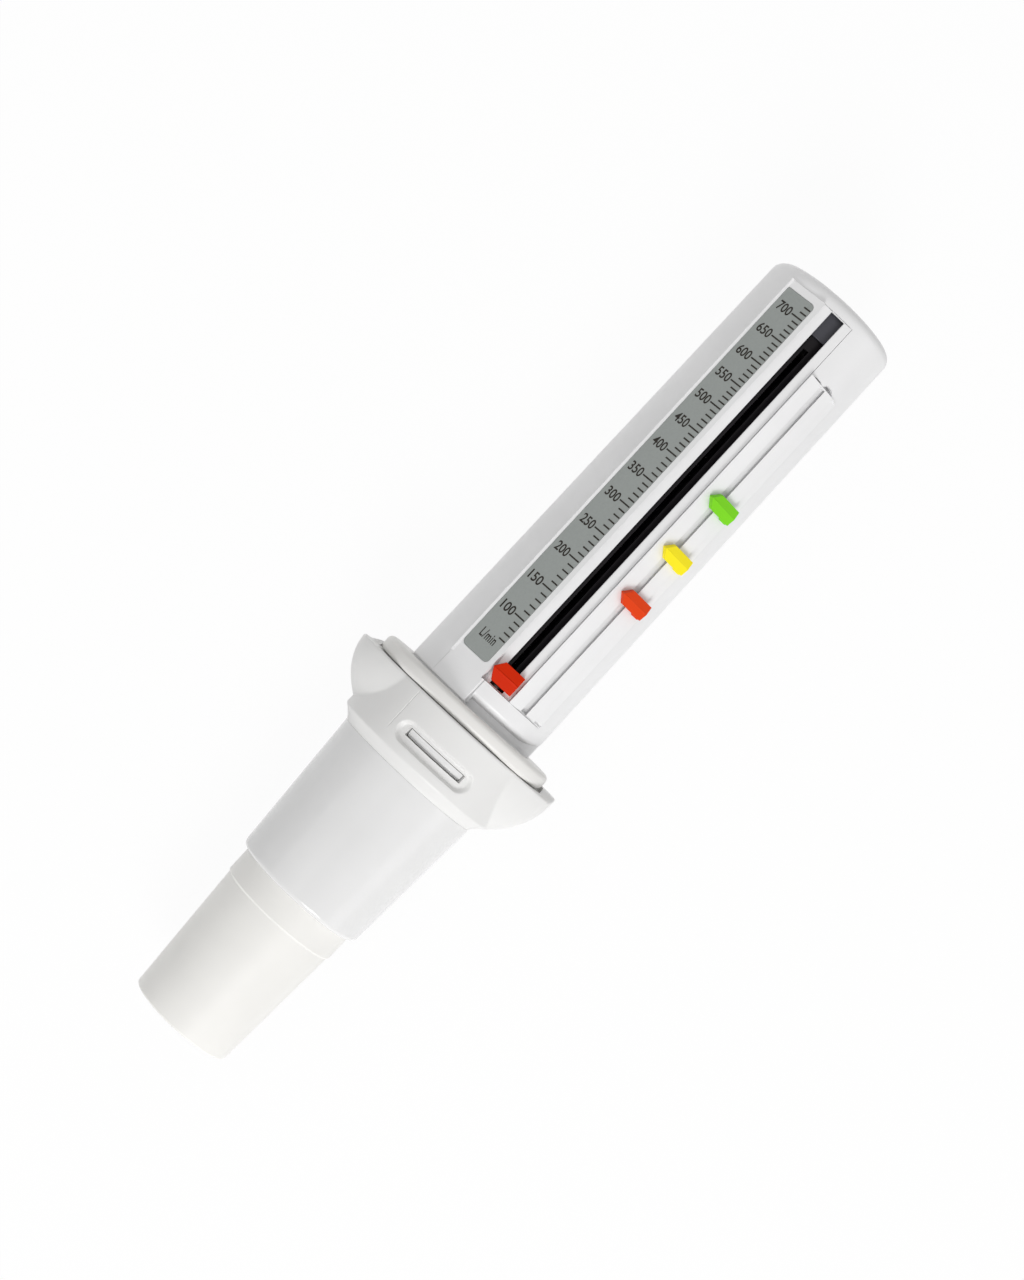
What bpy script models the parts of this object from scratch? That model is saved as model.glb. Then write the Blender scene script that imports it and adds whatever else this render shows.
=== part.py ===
"""Hand-held peak flow meter: a sliding piston in a slotted tube, with a scale and zone markers.

The tube axis lies along X, from the mouthpiece to the closed end, and the scale faces up (+Z).
The meter lies on the flat back of its hand guard and on a low pad near its closed end.
"""
import math

import bmesh
import bpy
from mathutils import Matrix

MM = 0.001
CLEARANCE = 0.3 * MM
TURN_STEPS = 48

# Heights and lengths along the tube
REST_DEPTH = 18.6 * MM
TAPER_LENGTH = 32.0 * MM
BAND_LENGTH = 6.6 * MM
INSERT_LENGTH = 10.9 * MM
BARREL_LENGTH = 35.8 * MM
GUARD_LENGTH = 16.6 * MM
RING_THICKNESS = 3.6 * MM
BODY_LENGTH = 119.4 * MM

# Mouthpiece
LIP_RADIUS = 12.95 * MM
LIP_ROUND = 0.6 * MM
TAPER_END_RADIUS = 14.55 * MM
SHOULDER_SLOPE = 0.4 * MM
INSERT_RADIUS = 14.9 * MM
MOUTHPIECE_WALL = 1.3 * MM

# Barrel
BARREL_RIM_RADIUS = 16.5 * MM
BARREL_END_RADIUS = 18.4 * MM
BARREL_RIM_ROUND = 1.3 * MM
PASSAGE_RADIUS = 14.0 * MM
LEDGE_RADIUS = 12.2 * MM
LEDGE_LENGTH = 3.7 * MM
LEDGE_BEFORE_GUARD = 4.7 * MM
SPIGOT_WALL = 1.9 * MM

# Hand guard and locking ring
GUARD_RADIUS = 20.9 * MM
GUARD_BEVEL_LENGTH = 2.2 * MM
LOBE_HALF_WIDTH = 28.2 * MM
LOBE_HALF_DEPTH = 16.4 * MM
LOBE_DROP = 20.4 * MM
GRIP_SLOT_STATION = 8.0 * MM
GRIP_RECESS_SIZE = (5.4 * MM, 20.8 * MM)
GRIP_RECESS_DEPTH = 1.0 * MM
GRIP_SLOT_SIZE = (2.1 * MM, 15.9 * MM)
RING_HALF_WIDTH = 23.8 * MM
RING_HALF_DEPTH = 20.0 * MM
RING_ROUND = 1.3 * MM

# Body shell
BODY_BASE_RADIUS = 17.4 * MM
BODY_TOP_RADIUS = 16.7 * MM
BODY_BORE_RADIUS = 14.6 * MM
BODY_NECK_STEP = 0.5 * MM
BODY_SPIGOT_LENGTH = 7.0 * MM
BODY_SPIGOT_WALL = 1.0 * MM
SOCKET_LENGTH = 4.8 * MM
END_WALL = 2.7 * MM
END_ROUND = 3.0 * MM
END_CROWN = 0.5 * MM
REST_PAD_SIZE = (13.0 * MM, 12.0 * MM)
REST_PAD_CORNER = 3.0 * MM
REST_PAD_FROM_END = 6.6 * MM

# Front panel: a scale facet and a marker facet beside a channel with the pointer's slot
FACET_ANGLE = math.radians(32.0)
FACET_DISTANCE = 16.9 * MM
SCALE_FACET_OUTER = 4.3 * MM
MARKER_FACET_OUTER = 5.45 * MM
FACET_INNER = 6.2 * MM
INSERT_THICKNESS = 1.2 * MM
CHANNEL_HALF_WIDTH = 4.05 * MM
CHANNEL_FLOOR = 16.2 * MM
TRACK_THICKNESS = 0.7 * MM
POINTER_SLOT_WIDTH = 3.3 * MM
FOOT_SLOT_WIDTH = 6.5 * MM
PANEL_FROM_BODY_BASE = 6.4 * MM
PANEL_FROM_END = 3.7 * MM
MARKER_TRACK_LENGTH = 95.6 * MM
COVE_RADIUS = 8.0 * MM
COVE_DEPTH_RADIUS = 14.8 * MM
COVE_ANGLE = math.radians(18.0)
COVE_FROM_BODY_BASE = 0.8 * MM
COVE_LEFT = 2.3 * MM

# Scale label, in a pocket of the scale plate
LABEL_LENGTH = 104.5 * MM
LABEL_WIDTH = 8.0 * MM
LABEL_FROM_EDGE = 0.7 * MM
LABEL_THICKNESS = 0.3 * MM
LABEL_CORNER = 1.2 * MM
LABEL_FROM_PANEL_START = 2.8 * MM

# Pointer and its clip
POINTER_LENGTH = 5.0 * MM
POINTER_RIDGE = 2.6 * MM
POINTER_LEFT = 3.75 * MM
POINTER_RIGHT = 3.25 * MM
POINTER_TIP_LENGTH = 1.6 * MM
POINTER_EDGE_HEIGHT = 0.9 * MM
POINTER_HEIGHT = 1.8 * MM
POINTER_FROM_PANEL_START = 1.0 * MM
CLIP_THICKNESS = 0.9 * MM
CLIP_INSET = 0.1 * MM

# Zone markers and the rail they clip to
MARKER_STATIONS = {"red_marker": 135.7 * MM, "yellow_marker": 149.0 * MM, "green_marker": 163.8 * MM}
MARKER_LENGTH = 3.9 * MM
MARKER_LEFT = 4.05 * MM
MARKER_RIGHT = 5.15 * MM
MARKER_TIP_LENGTH = 2.0 * MM
MARKER_EDGE_HEIGHT = 0.8 * MM
MARKER_HEIGHT = 1.5 * MM
LEFT_GROOVE = 1.8 * MM
RAIL_LEFT = 0.45 * MM
RAIL_RIGHT = 3.6 * MM
GROOVE_DEPTH = 0.7 * MM

# Measuring tube, piston and return spring
TUBE_RADIUS = 13.1 * MM
TUBE_WALL = 1.1 * MM
TUBE_END_FROM_BODY_END = 10.7 * MM
TUBE_SLOT_WIDTH = 1.6 * MM
SEAL_FROM_LEDGE = 2.0 * MM
PISTON_HEIGHT = 4.0 * MM
PISTON_WEB = 1.0 * MM
PISTON_SKIRT = 0.8 * MM
HUB_WALL = 1.0 * MM
HUB_HEIGHT = 4.6 * MM
FINGER_LENGTH = 1.8 * MM
BUSH_WALL = 1.0 * MM
BUSH_OVERHANG = 2.4 * MM
BUSH_STAND = 0.5 * MM
ROD_RADIUS = 1.0 * MM
ROD_BELOW_NUT = 1.4 * MM
NUT_THICKNESS = 2.2 * MM
NUT_RADIUS = 2.6 * MM
STOP_THICKNESS = 1.1 * MM
SPIDER_THICKNESS = 2.5 * MM
SPIDER_RING_WALL = 1.3 * MM
SPIDER_HUB_RADIUS = 3.6 * MM
SPIDER_ARM_WIDTH = 1.6 * MM
SPRING_MEAN_RADIUS = 2.85 * MM
SPRING_WIRE_RADIUS = 0.25 * MM
SPRING_TURNS = 16
BUMPER_RADIUS = 4.0 * MM
BUMPER_THICKNESS = 2.5 * MM

# Stations along the tube, from the lip of the mouthpiece
SHOULDER_AT = TAPER_LENGTH
RIM_AT = SHOULDER_AT + BAND_LENGTH
INSERT_END_AT = RIM_AT + INSERT_LENGTH
GUARD_AT = RIM_AT + BARREL_LENGTH
GUARD_RIM_AT = GUARD_AT + GUARD_LENGTH
RING_AT = GUARD_RIM_AT + CLEARANCE
RING_TOP_AT = RING_AT + RING_THICKNESS
BODY_AT = RING_TOP_AT + CLEARANCE
END_AT = BODY_AT + BODY_LENGTH
LEDGE_AT = GUARD_AT - LEDGE_BEFORE_GUARD
PANEL_AT = BODY_AT + PANEL_FROM_BODY_BASE
PANEL_END_AT = END_AT - PANEL_FROM_END
PLATE_AT = BODY_AT + 2.0 * CLEARANCE
TUBE_AT = LEDGE_AT + CLEARANCE
TUBE_END_AT = END_AT - TUBE_END_FROM_BODY_END
SOCKET_END_AT = BODY_AT + SOCKET_LENGTH
POINTER_AT = PANEL_AT + POINTER_FROM_PANEL_START
PISTON_TOP_AT = POINTER_AT + CLIP_INSET - CLEARANCE
PISTON_AT = PISTON_TOP_AT - PISTON_HEIGHT
INNER_END_AT = END_AT - END_WALL
BUMPER_AT = TUBE_END_AT - BUMPER_THICKNESS

# Radii and heights that follow from a neighbour
SOCKET_RADIUS = INSERT_RADIUS + CLEARANCE
TUBE_SOCKET_RADIUS = TUBE_RADIUS + CLEARANCE
BODY_SPIGOT_RADIUS = TUBE_SOCKET_RADIUS + BODY_SPIGOT_WALL
BARREL_BORE_RADIUS = BODY_SPIGOT_RADIUS + CLEARANCE
BARREL_SPIGOT_RADIUS = BARREL_BORE_RADIUS + SPIGOT_WALL
GUARD_BORE_RADIUS = BARREL_SPIGOT_RADIUS + CLEARANCE
NECK_RADIUS = BODY_BASE_RADIUS - BODY_NECK_STEP
RING_BORE_RADIUS = NECK_RADIUS + CLEARANCE
INSERT_FLOOR = FACET_DISTANCE - INSERT_THICKNESS
POCKET_FLOOR = INSERT_FLOOR - CLEARANCE
TRACK_BASE = CHANNEL_FLOOR - TRACK_THICKNESS
CLIP_TOP = TRACK_BASE - CLEARANCE
CLIP_BASE = CLIP_TOP - CLIP_THICKNESS
FINGER_TIP = CLIP_BASE - CLEARANCE
TUBE_BORE_RADIUS = TUBE_RADIUS - TUBE_WALL
PISTON_RADIUS = TUBE_BORE_RADIUS - CLEARANCE
ROD_HOLE_RADIUS = ROD_RADIUS + CLEARANCE
BUSH_RADIUS = ROD_HOLE_RADIUS + BUSH_WALL
HUB_BORE_RADIUS = BUSH_RADIUS + CLEARANCE


def new_collection(name):
    """Makes a collection under the scene's own."""
    collection = bpy.data.collections.new(name)
    bpy.context.scene.collection.children.link(collection)
    return collection


def clear_scene():
    """Removes the objects that Blender opens with."""
    for old in list(bpy.data.objects):
        bpy.data.objects.remove(old, do_unlink=True)


clear_scene()
PARTS = new_collection("peak_flow_meter")
CUTTERS = new_collection("cutters")


def plastic(name, colour, roughness, metallic=0.0):
    """A Principled material in one colour (linear red, green, blue)."""
    material = bpy.data.materials.new(name)
    material.use_nodes = True
    shader = material.node_tree.nodes["Principled BSDF"]
    shader.inputs["Base Color"].default_value = (*colour, 1.0)
    shader.inputs["Roughness"].default_value = roughness
    shader.inputs["Metallic"].default_value = metallic
    return material


def along(station):
    """World X of a station counted from the mouthpiece's lip."""
    return station - END_AT / 2.0


def place(piece, station=0.0, turn=0.0):
    """Puts a piece that is modelled about the tube axis at a station, turned about that axis."""
    piece.location = (along(station), 0.0, REST_DEPTH)
    piece.rotation_euler = (turn, 0.0, 0.0)
    return piece


def make(name, mesh, material=None):
    """Links a mesh as a finished part, or as a cutter when it has no material."""
    piece = bpy.data.objects.new(name, mesh)
    if material is None:
        CUTTERS.objects.link(piece)
        piece.hide_render = True
        piece.display_type = "WIRE"
    else:
        PARTS.objects.link(piece)
        mesh.materials.append(material)
    return piece


def boolean(piece, other, operation="DIFFERENCE"):
    """Adds an exact Boolean of the two solids to the first."""
    modifier = piece.modifiers.new(operation.lower(), "BOOLEAN")
    modifier.object = other
    modifier.operation = operation
    modifier.solver = "EXACT"
    return piece


def arc(centre, radius, start, end, steps):
    """Points on an arc, as (station, radius) pairs, with the angles in degrees."""
    angles = [math.radians(start + (end - start) * i / steps) for i in range(steps + 1)]
    return [(centre[0] + radius * math.cos(a), centre[1] + radius * math.sin(a)) for a in angles]


def turned(name, outer, inner, material=None, steps=TURN_STEPS):
    """A turned piece from its outer and inner sides, each listed from the mouth end to the closed end.

    The side whose last radius is zero closes on the axis.
    """
    outline = list(reversed(outer)) + list(inner)
    closed = outer[-1][1] > 0.0
    mesh = bpy.data.meshes.new(name)
    edges = [(i, i + 1) for i in range(len(outline) - 1)]
    if closed:
        edges.append((len(outline) - 1, 0))
    mesh.from_pydata([(radius, 0.0, station) for station, radius in outline], edges, [])
    piece = make(name, mesh, material)
    screw = piece.modifiers.new("turn", "SCREW")
    screw.steps = steps
    screw.render_steps = steps
    screw.use_merge_vertices = True
    screw.merge_threshold = 0.00001
    screw.use_smooth_shade = False
    piece.location = (along(0.0), 0.0, REST_DEPTH)
    piece.rotation_euler = (0.0, math.pi / 2.0, 0.0)
    return piece


def cylinder(name, radius, start, end, material=None, steps=TURN_STEPS):
    """A plain round bar on the tube axis."""
    mesh = bpy.data.meshes.new(name)
    shape = bmesh.new()
    bmesh.ops.create_cone(shape, cap_ends=True, segments=steps, radius1=radius, radius2=radius,
                          depth=end - start)
    bmesh.ops.rotate(shape, verts=shape.verts, matrix=Matrix.Rotation(math.pi / 2.0, 3, "Y"))
    bmesh.ops.translate(shape, verts=shape.verts, vec=((start + end) / 2.0, 0.0, 0.0))
    shape.to_mesh(mesh)
    shape.free()
    return place(make(name, mesh, material))


def block(name, start, end, left, right, low, high, material=None, turn=0.0, origin=0.0):
    """A box along the tube: stations, sides (left is +Y) and heights above the axis, before its turn."""
    mesh = bpy.data.meshes.new(name)
    shape = bmesh.new()
    bmesh.ops.create_cube(shape, size=1.0)
    bmesh.ops.scale(shape, verts=shape.verts, vec=(end - start, left - right, high - low))
    centre = ((start + end) / 2.0 - origin, (left + right) / 2.0, (low + high) / 2.0)
    bmesh.ops.translate(shape, verts=shape.verts, vec=centre)
    shape.to_mesh(mesh)
    shape.free()
    return place(make(name, mesh, material), origin, turn)


def flat_outline(name, points, thickness, matrix, material=None, turn=0.0, origin=0.0):
    """A flat outline given a thickness, then laid in place by a matrix, as a welded mesh."""
    curve = bpy.data.curves.new(name + "_outline", "CURVE")
    curve.dimensions = "2D"
    curve.fill_mode = "BOTH"
    curve.extrude = thickness / 2.0
    spline = curve.splines.new("POLY")
    spline.points.add(len(points) - 1)
    for point, (x, y) in zip(spline.points, points):
        point.co = (x, y, 0.0, 1.0)
    spline.use_cyclic_u = True
    sketch = bpy.data.objects.new(name + "_outline", curve)
    CUTTERS.objects.link(sketch)
    graph = bpy.context.evaluated_depsgraph_get()
    mesh = bpy.data.meshes.new_from_object(sketch.evaluated_get(graph))
    bpy.data.objects.remove(sketch, do_unlink=True)
    shape = bmesh.new()
    shape.from_mesh(mesh)
    bmesh.ops.remove_doubles(shape, verts=shape.verts, dist=0.000001)
    bmesh.ops.transform(shape, matrix=matrix, verts=shape.verts)
    bmesh.ops.recalc_face_normals(shape, faces=shape.faces)
    shape.to_mesh(mesh)
    shape.free()
    mesh.materials.clear()
    return place(make(name, mesh, material), origin, turn)


def rounded_rectangle(length, width, corner, steps=5):
    """Corner points of a rectangle about the origin with round corners."""
    points = []
    for quarter, (sx, sy) in enumerate([(1, 1), (-1, 1), (-1, -1), (1, -1)]):
        centre = (sx * (length / 2.0 - corner), sy * (width / 2.0 - corner))
        points += arc(centre, corner, 90.0 * quarter, 90.0 * (quarter + 1), steps)
    return points


# Mouthpiece: a thin tapered tube that pushes into the barrel

def make_mouthpiece():
    """A tapered tube with a rounded lip, a small shoulder and a straight end for the barrel."""
    lip = arc((LIP_ROUND, LIP_RADIUS - LIP_ROUND), LIP_ROUND, 180.0, 90.0, 3)
    outer = lip + [
        (SHOULDER_AT, TAPER_END_RADIUS),
        (SHOULDER_AT + SHOULDER_SLOPE, INSERT_RADIUS),
        (INSERT_END_AT, INSERT_RADIUS),
    ]
    inner = [
        (0.0, LIP_RADIUS - MOUTHPIECE_WALL),
        (SHOULDER_AT, INSERT_RADIUS - MOUTHPIECE_WALL),
        (INSERT_END_AT, INSERT_RADIUS - MOUTHPIECE_WALL),
    ]
    turned("mouthpiece", outer, inner, plastic("mouthpiece_ivory", (0.86, 0.85, 0.80), 0.45))


# Barrel: the glossy sleeve between the mouthpiece and the hand guard

def make_barrel():
    """A slightly conical sleeve: mouthpiece socket, passage, tube ledge and a spigot for the guard."""
    rim_centre = (RIM_AT + BARREL_RIM_ROUND, BARREL_RIM_RADIUS - BARREL_RIM_ROUND)
    outer = arc(rim_centre, BARREL_RIM_ROUND, 180.0, 90.0, 4) + [
        (GUARD_AT, BARREL_END_RADIUS),
        (GUARD_AT, BARREL_SPIGOT_RADIUS),
        (GUARD_RIM_AT, BARREL_SPIGOT_RADIUS),
    ]
    socket_end = INSERT_END_AT + CLEARANCE
    inner = [
        (RIM_AT, SOCKET_RADIUS),
        (socket_end, SOCKET_RADIUS),
        (socket_end, PASSAGE_RADIUS),
        (LEDGE_AT - LEDGE_LENGTH, PASSAGE_RADIUS),
        (LEDGE_AT - LEDGE_LENGTH, LEDGE_RADIUS),
        (LEDGE_AT, LEDGE_RADIUS),
        (LEDGE_AT, BARREL_BORE_RADIUS),
        (GUARD_RIM_AT, BARREL_BORE_RADIUS),
    ]
    turned("barrel", outer, inner, plastic("barrel_white", (0.78, 0.79, 0.80), 0.22))


# Hand guard: the collar with two side lobes that keep fingers off the scale

def rest_cutter(name):
    """A block that trims everything below the face the meter lies on."""
    reach = LOBE_HALF_WIDTH + REST_DEPTH
    return block(name, RIM_AT, BODY_AT + BODY_LENGTH, reach, -reach, -REST_DEPTH - reach, -REST_DEPTH)


def make_lobes():
    """An elliptical bowl, cut level with the guard's rim; only its two sides stand out."""
    mesh = bpy.data.meshes.new("guard_lobes")
    shape = bmesh.new()
    bmesh.ops.create_uvsphere(shape, u_segments=TURN_STEPS, v_segments=20, radius=1.0)
    bmesh.ops.rotate(shape, verts=shape.verts, matrix=Matrix.Rotation(math.pi / 2.0, 3, "Y"))
    above_rim = [vertex for vertex in shape.verts if vertex.co.x > 0.01]
    bmesh.ops.delete(shape, geom=above_rim, context="VERTS")
    bmesh.ops.scale(shape, verts=shape.verts, vec=(LOBE_DROP, LOBE_HALF_WIDTH, LOBE_HALF_DEPTH))
    rim = [edge for edge in shape.edges if edge.is_boundary]
    bmesh.ops.contextual_create(shape, geom=rim)
    bmesh.ops.recalc_face_normals(shape, faces=shape.faces)
    shape.to_mesh(mesh)
    shape.free()
    return place(make("guard_lobes", mesh), GUARD_RIM_AT)


def make_grip_recess():
    """The shallow stadium recess round the guard's front slot, with a floor that follows the guard."""
    length, width = GRIP_RECESS_SIZE
    points = rounded_rectangle(length, width, length / 2.0 - CLEARANCE, 6)
    lay = Matrix.Translation((GUARD_AT + GRIP_SLOT_STATION, 0.0, GUARD_RADIUS))
    recess = flat_outline("grip_recess", points, GUARD_RADIUS / 2.0, lay)
    floor = cylinder("grip_recess_floor", GUARD_RADIUS - GRIP_RECESS_DEPTH, GUARD_AT - GUARD_LENGTH,
                     GUARD_RIM_AT + GUARD_LENGTH)
    return boolean(recess, floor)


def make_hand_guard():
    """The turned collar joined with its lobes, then bored, slotted and flattened at the back."""
    start = GUARD_AT + CLEARANCE
    outer = [
        (start, BARREL_END_RADIUS),
        (start + GUARD_BEVEL_LENGTH, GUARD_RADIUS),
        (GUARD_RIM_AT, GUARD_RADIUS),
    ]
    inner = [(start, GUARD_BORE_RADIUS), (GUARD_RIM_AT, GUARD_BORE_RADIUS)]
    guard = turned("hand_guard", outer, inner, plastic("guard_white", (0.68, 0.665, 0.65), 0.5))
    boolean(guard, make_grip_recess())
    slot_length, slot_width = GRIP_SLOT_SIZE
    middle = GUARD_AT + GRIP_SLOT_STATION
    boolean(guard, block("grip_slot", middle - slot_length / 2.0, middle + slot_length / 2.0,
                         slot_width / 2.0, -slot_width / 2.0, GUARD_BORE_RADIUS / 2.0, GUARD_RADIUS * 1.5))
    boolean(guard, make_lobes(), "UNION")
    boolean(guard, cylinder("guard_bore", GUARD_BORE_RADIUS, RIM_AT, BODY_AT))
    boolean(guard, rest_cutter("guard_back"))


# Locking ring: the oval ring that clamps the body shell to the guard

def make_locking_ring():
    """A turned disc with round edges, stretched to an oval, then bored and flattened at the back."""
    mesh = bpy.data.meshes.new("locking_ring")
    shape = bmesh.new()
    bmesh.ops.create_cone(shape, cap_ends=True, segments=TURN_STEPS, radius1=1.0, radius2=1.0,
                          depth=RING_THICKNESS)
    bmesh.ops.rotate(shape, verts=shape.verts, matrix=Matrix.Rotation(math.pi / 2.0, 3, "Y"))
    bmesh.ops.scale(shape, verts=shape.verts, vec=(1.0, RING_HALF_WIDTH, RING_HALF_DEPTH))
    rims = [edge for edge in shape.edges if len({round(v.co.x, 6) for v in edge.verts}) == 1]
    bmesh.ops.bevel(shape, geom=rims, offset=RING_ROUND, segments=4, profile=0.5, affect="EDGES")
    shape.to_mesh(mesh)
    shape.free()
    ring = make("locking_ring", mesh, plastic("ring_white", (0.745, 0.73, 0.705), 0.5))
    place(ring, RING_AT + RING_THICKNESS / 2.0)
    boolean(ring, cylinder("ring_bore", RING_BORE_RADIUS, RIM_AT, BODY_AT + RING_THICKNESS))
    boolean(ring, rest_cutter("ring_back"))


# Body shell: the long closed tube that carries the scale, the tracks and the measuring tube

def make_cove():
    """The finger cove below the tracks: a cylinder lying across the tube, kept right of the scale plate."""
    reach = 2.0 * BODY_BASE_RADIUS
    mesh = bpy.data.meshes.new("cove")
    shape = bmesh.new()
    bmesh.ops.create_cone(shape, cap_ends=True, segments=TURN_STEPS, radius1=COVE_RADIUS,
                          radius2=COVE_RADIUS, depth=2.0 * reach)
    bmesh.ops.rotate(shape, verts=shape.verts, matrix=Matrix.Rotation(math.pi / 2.0, 3, "X"))
    bmesh.ops.translate(shape, verts=shape.verts, vec=(0.0, 0.0, COVE_DEPTH_RADIUS + COVE_RADIUS))
    shape.to_mesh(mesh)
    shape.free()
    cove = place(make("cove", mesh), BODY_AT + COVE_FROM_BODY_BASE, COVE_ANGLE)
    keep_left = block("cove_left_wall", RIM_AT, END_AT, reach * 2.0, COVE_LEFT, -reach, reach * 2.0)
    keep_ring = block("cove_base", RIM_AT, BODY_AT + CLEARANCE, reach * 2.0, -reach * 2.0, -reach,
                      reach * 2.0)
    boolean(cove, keep_left)
    return boolean(cove, keep_ring)


def facet_pocket(name, turn, left, right, start, end):
    """A pocket in the shell for one facet's insert, with a clearance all round."""
    return block(name, start - CLEARANCE, end + CLEARANCE, left + CLEARANCE, right - CLEARANCE,
                 POCKET_FLOOR, 2.0 * FACET_DISTANCE, turn=turn)


def make_body_shell():
    """The turned shell, then the rest pad, the three pockets, the pointer's slot and the cove."""
    end_round = arc((END_AT - END_ROUND - END_CROWN, BODY_TOP_RADIUS - END_ROUND), END_ROUND, 90.0, 0.0, 5)
    outer = [
        (GUARD_RIM_AT - BODY_SPIGOT_LENGTH, BODY_SPIGOT_RADIUS),
        (RING_AT, BODY_SPIGOT_RADIUS),
        (RING_AT, NECK_RADIUS),
        (BODY_AT, NECK_RADIUS),
        (BODY_AT, BODY_BASE_RADIUS),
    ] + end_round + [(END_AT, 0.0)]
    inner = [
        (GUARD_RIM_AT - BODY_SPIGOT_LENGTH, TUBE_SOCKET_RADIUS),
        (SOCKET_END_AT, TUBE_SOCKET_RADIUS),
        (SOCKET_END_AT, BODY_BORE_RADIUS),
        (INNER_END_AT, BODY_BORE_RADIUS),
        (INNER_END_AT, 0.0),
    ]
    shell = turned("body_shell", outer, inner, plastic("body_white", (0.80, 0.80, 0.80), 0.45), 64)
    pad_top = (BODY_BORE_RADIUS + BODY_TOP_RADIUS) / 2.0
    lay = Matrix.Translation((END_AT - REST_PAD_FROM_END - REST_PAD_SIZE[0] / 2.0, 0.0,
                              -(REST_DEPTH + pad_top) / 2.0))
    pad = flat_outline("rest_pad", rounded_rectangle(*REST_PAD_SIZE, REST_PAD_CORNER),
                       REST_DEPTH - pad_top, lay)
    boolean(shell, pad, "UNION")
    boolean(shell, make_cove())
    boolean(shell, facet_pocket("scale_pocket", -FACET_ANGLE, SCALE_FACET_OUTER, -FACET_INNER,
                                PLATE_AT, PANEL_END_AT))
    boolean(shell, facet_pocket("marker_pocket", FACET_ANGLE, FACET_INNER, -MARKER_FACET_OUTER,
                                PANEL_AT + CLEARANCE, PANEL_AT + CLEARANCE + MARKER_TRACK_LENGTH))
    boolean(shell, block("channel_pocket", PANEL_AT, PANEL_END_AT, CHANNEL_HALF_WIDTH,
                         -CHANNEL_HALF_WIDTH, TRACK_BASE - CLEARANCE, 2.0 * FACET_DISTANCE))
    boolean(shell, block("foot_slot", PANEL_AT + CLEARANCE, PANEL_END_AT - CLEARANCE,
                         FOOT_SLOT_WIDTH / 2.0, -FOOT_SLOT_WIDTH / 2.0, TUBE_BORE_RADIUS,
                         2.0 * FACET_DISTANCE))


# Panel inserts: scale plate, label, pointer track and marker track

def channel_cutter(name):
    """Keeps a facet insert out of the pointer's channel."""
    return block(name, PANEL_AT, END_AT, CHANNEL_HALF_WIDTH, -CHANNEL_HALF_WIDTH, 0.0, 2.0 * FACET_DISTANCE)


def label_middle():
    """The label's centre: its station, and its distance from the facet's centre line towards the channel."""
    station = PANEL_AT + LABEL_FROM_PANEL_START + LABEL_LENGTH / 2.0
    across = LABEL_WIDTH / 2.0 - SCALE_FACET_OUTER + LABEL_FROM_EDGE
    return station, across


def make_scale_plate():
    """The raised plate on the scale facet, with a pocket for its label."""
    plate = block("scale_plate", PLATE_AT, PANEL_END_AT, SCALE_FACET_OUTER, -FACET_INNER,
                  INSERT_FLOOR, FACET_DISTANCE, plastic("plate_white", (0.82, 0.82, 0.81), 0.4), -FACET_ANGLE)
    boolean(plate, channel_cutter("scale_plate_trim"))
    station, across = label_middle()
    points = rounded_rectangle(LABEL_LENGTH + 2.0 * CLEARANCE, LABEL_WIDTH + 2.0 * CLEARANCE,
                               LABEL_CORNER + CLEARANCE)
    depth = LABEL_THICKNESS + CLEARANCE
    lay = Matrix.Translation((station, -across, FACET_DISTANCE))
    boolean(plate, flat_outline("label_pocket", points, 2.0 * depth, lay, turn=-FACET_ANGLE))


def make_scale_label():
    """The grey-green scale strip, flush with the plate."""
    station, across = label_middle()
    lay = Matrix.Translation((station, -across, FACET_DISTANCE - LABEL_THICKNESS / 2.0))
    flat_outline("scale_label", rounded_rectangle(LABEL_LENGTH, LABEL_WIDTH, LABEL_CORNER),
                 LABEL_THICKNESS, lay, plastic("label_grey_green", (0.31, 0.36, 0.33), 0.4), -FACET_ANGLE)


def make_pointer_track():
    """The channel's floor plate, with the slot that the pointer slides in."""
    side = CHANNEL_HALF_WIDTH - CLEARANCE
    track = block("pointer_track", PANEL_AT + CLEARANCE, PANEL_END_AT - CLEARANCE, side, -side,
                  TRACK_BASE, CHANNEL_FLOOR, plastic("track_white", (0.82, 0.82, 0.82), 0.35))
    end_web = 2.0 * CLEARANCE
    boolean(track, block("pointer_slot", PANEL_AT + CLEARANCE + end_web, PANEL_END_AT - CLEARANCE - end_web,
                         POINTER_SLOT_WIDTH / 2.0, -POINTER_SLOT_WIDTH / 2.0, TUBE_RADIUS,
                         2.0 * FACET_DISTANCE))


def make_marker_track():
    """The facet insert with a rail between two grooves, which the zone markers clip to."""
    start = PANEL_AT + CLEARANCE
    end = start + MARKER_TRACK_LENGTH
    track = block("marker_track", start, end, FACET_INNER, -MARKER_FACET_OUTER, INSERT_FLOOR,
                  FACET_DISTANCE, plastic("marker_track_white", (0.82, 0.82, 0.82), 0.35), FACET_ANGLE)
    boolean(track, channel_cutter("marker_track_trim"))
    groove_floor = FACET_DISTANCE - GROOVE_DEPTH
    end_web = 2.0 * CLEARANCE
    for name, left, right in [("left_groove", LEFT_GROOVE, -RAIL_LEFT),
                              ("right_groove", -RAIL_RIGHT, -2.0 * MARKER_FACET_OUTER)]:
        boolean(track, block(name, start + end_web, end - end_web, left, right, groove_floor,
                             2.0 * FACET_DISTANCE, turn=FACET_ANGLE))


# Pointer, its clip and the zone markers

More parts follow.
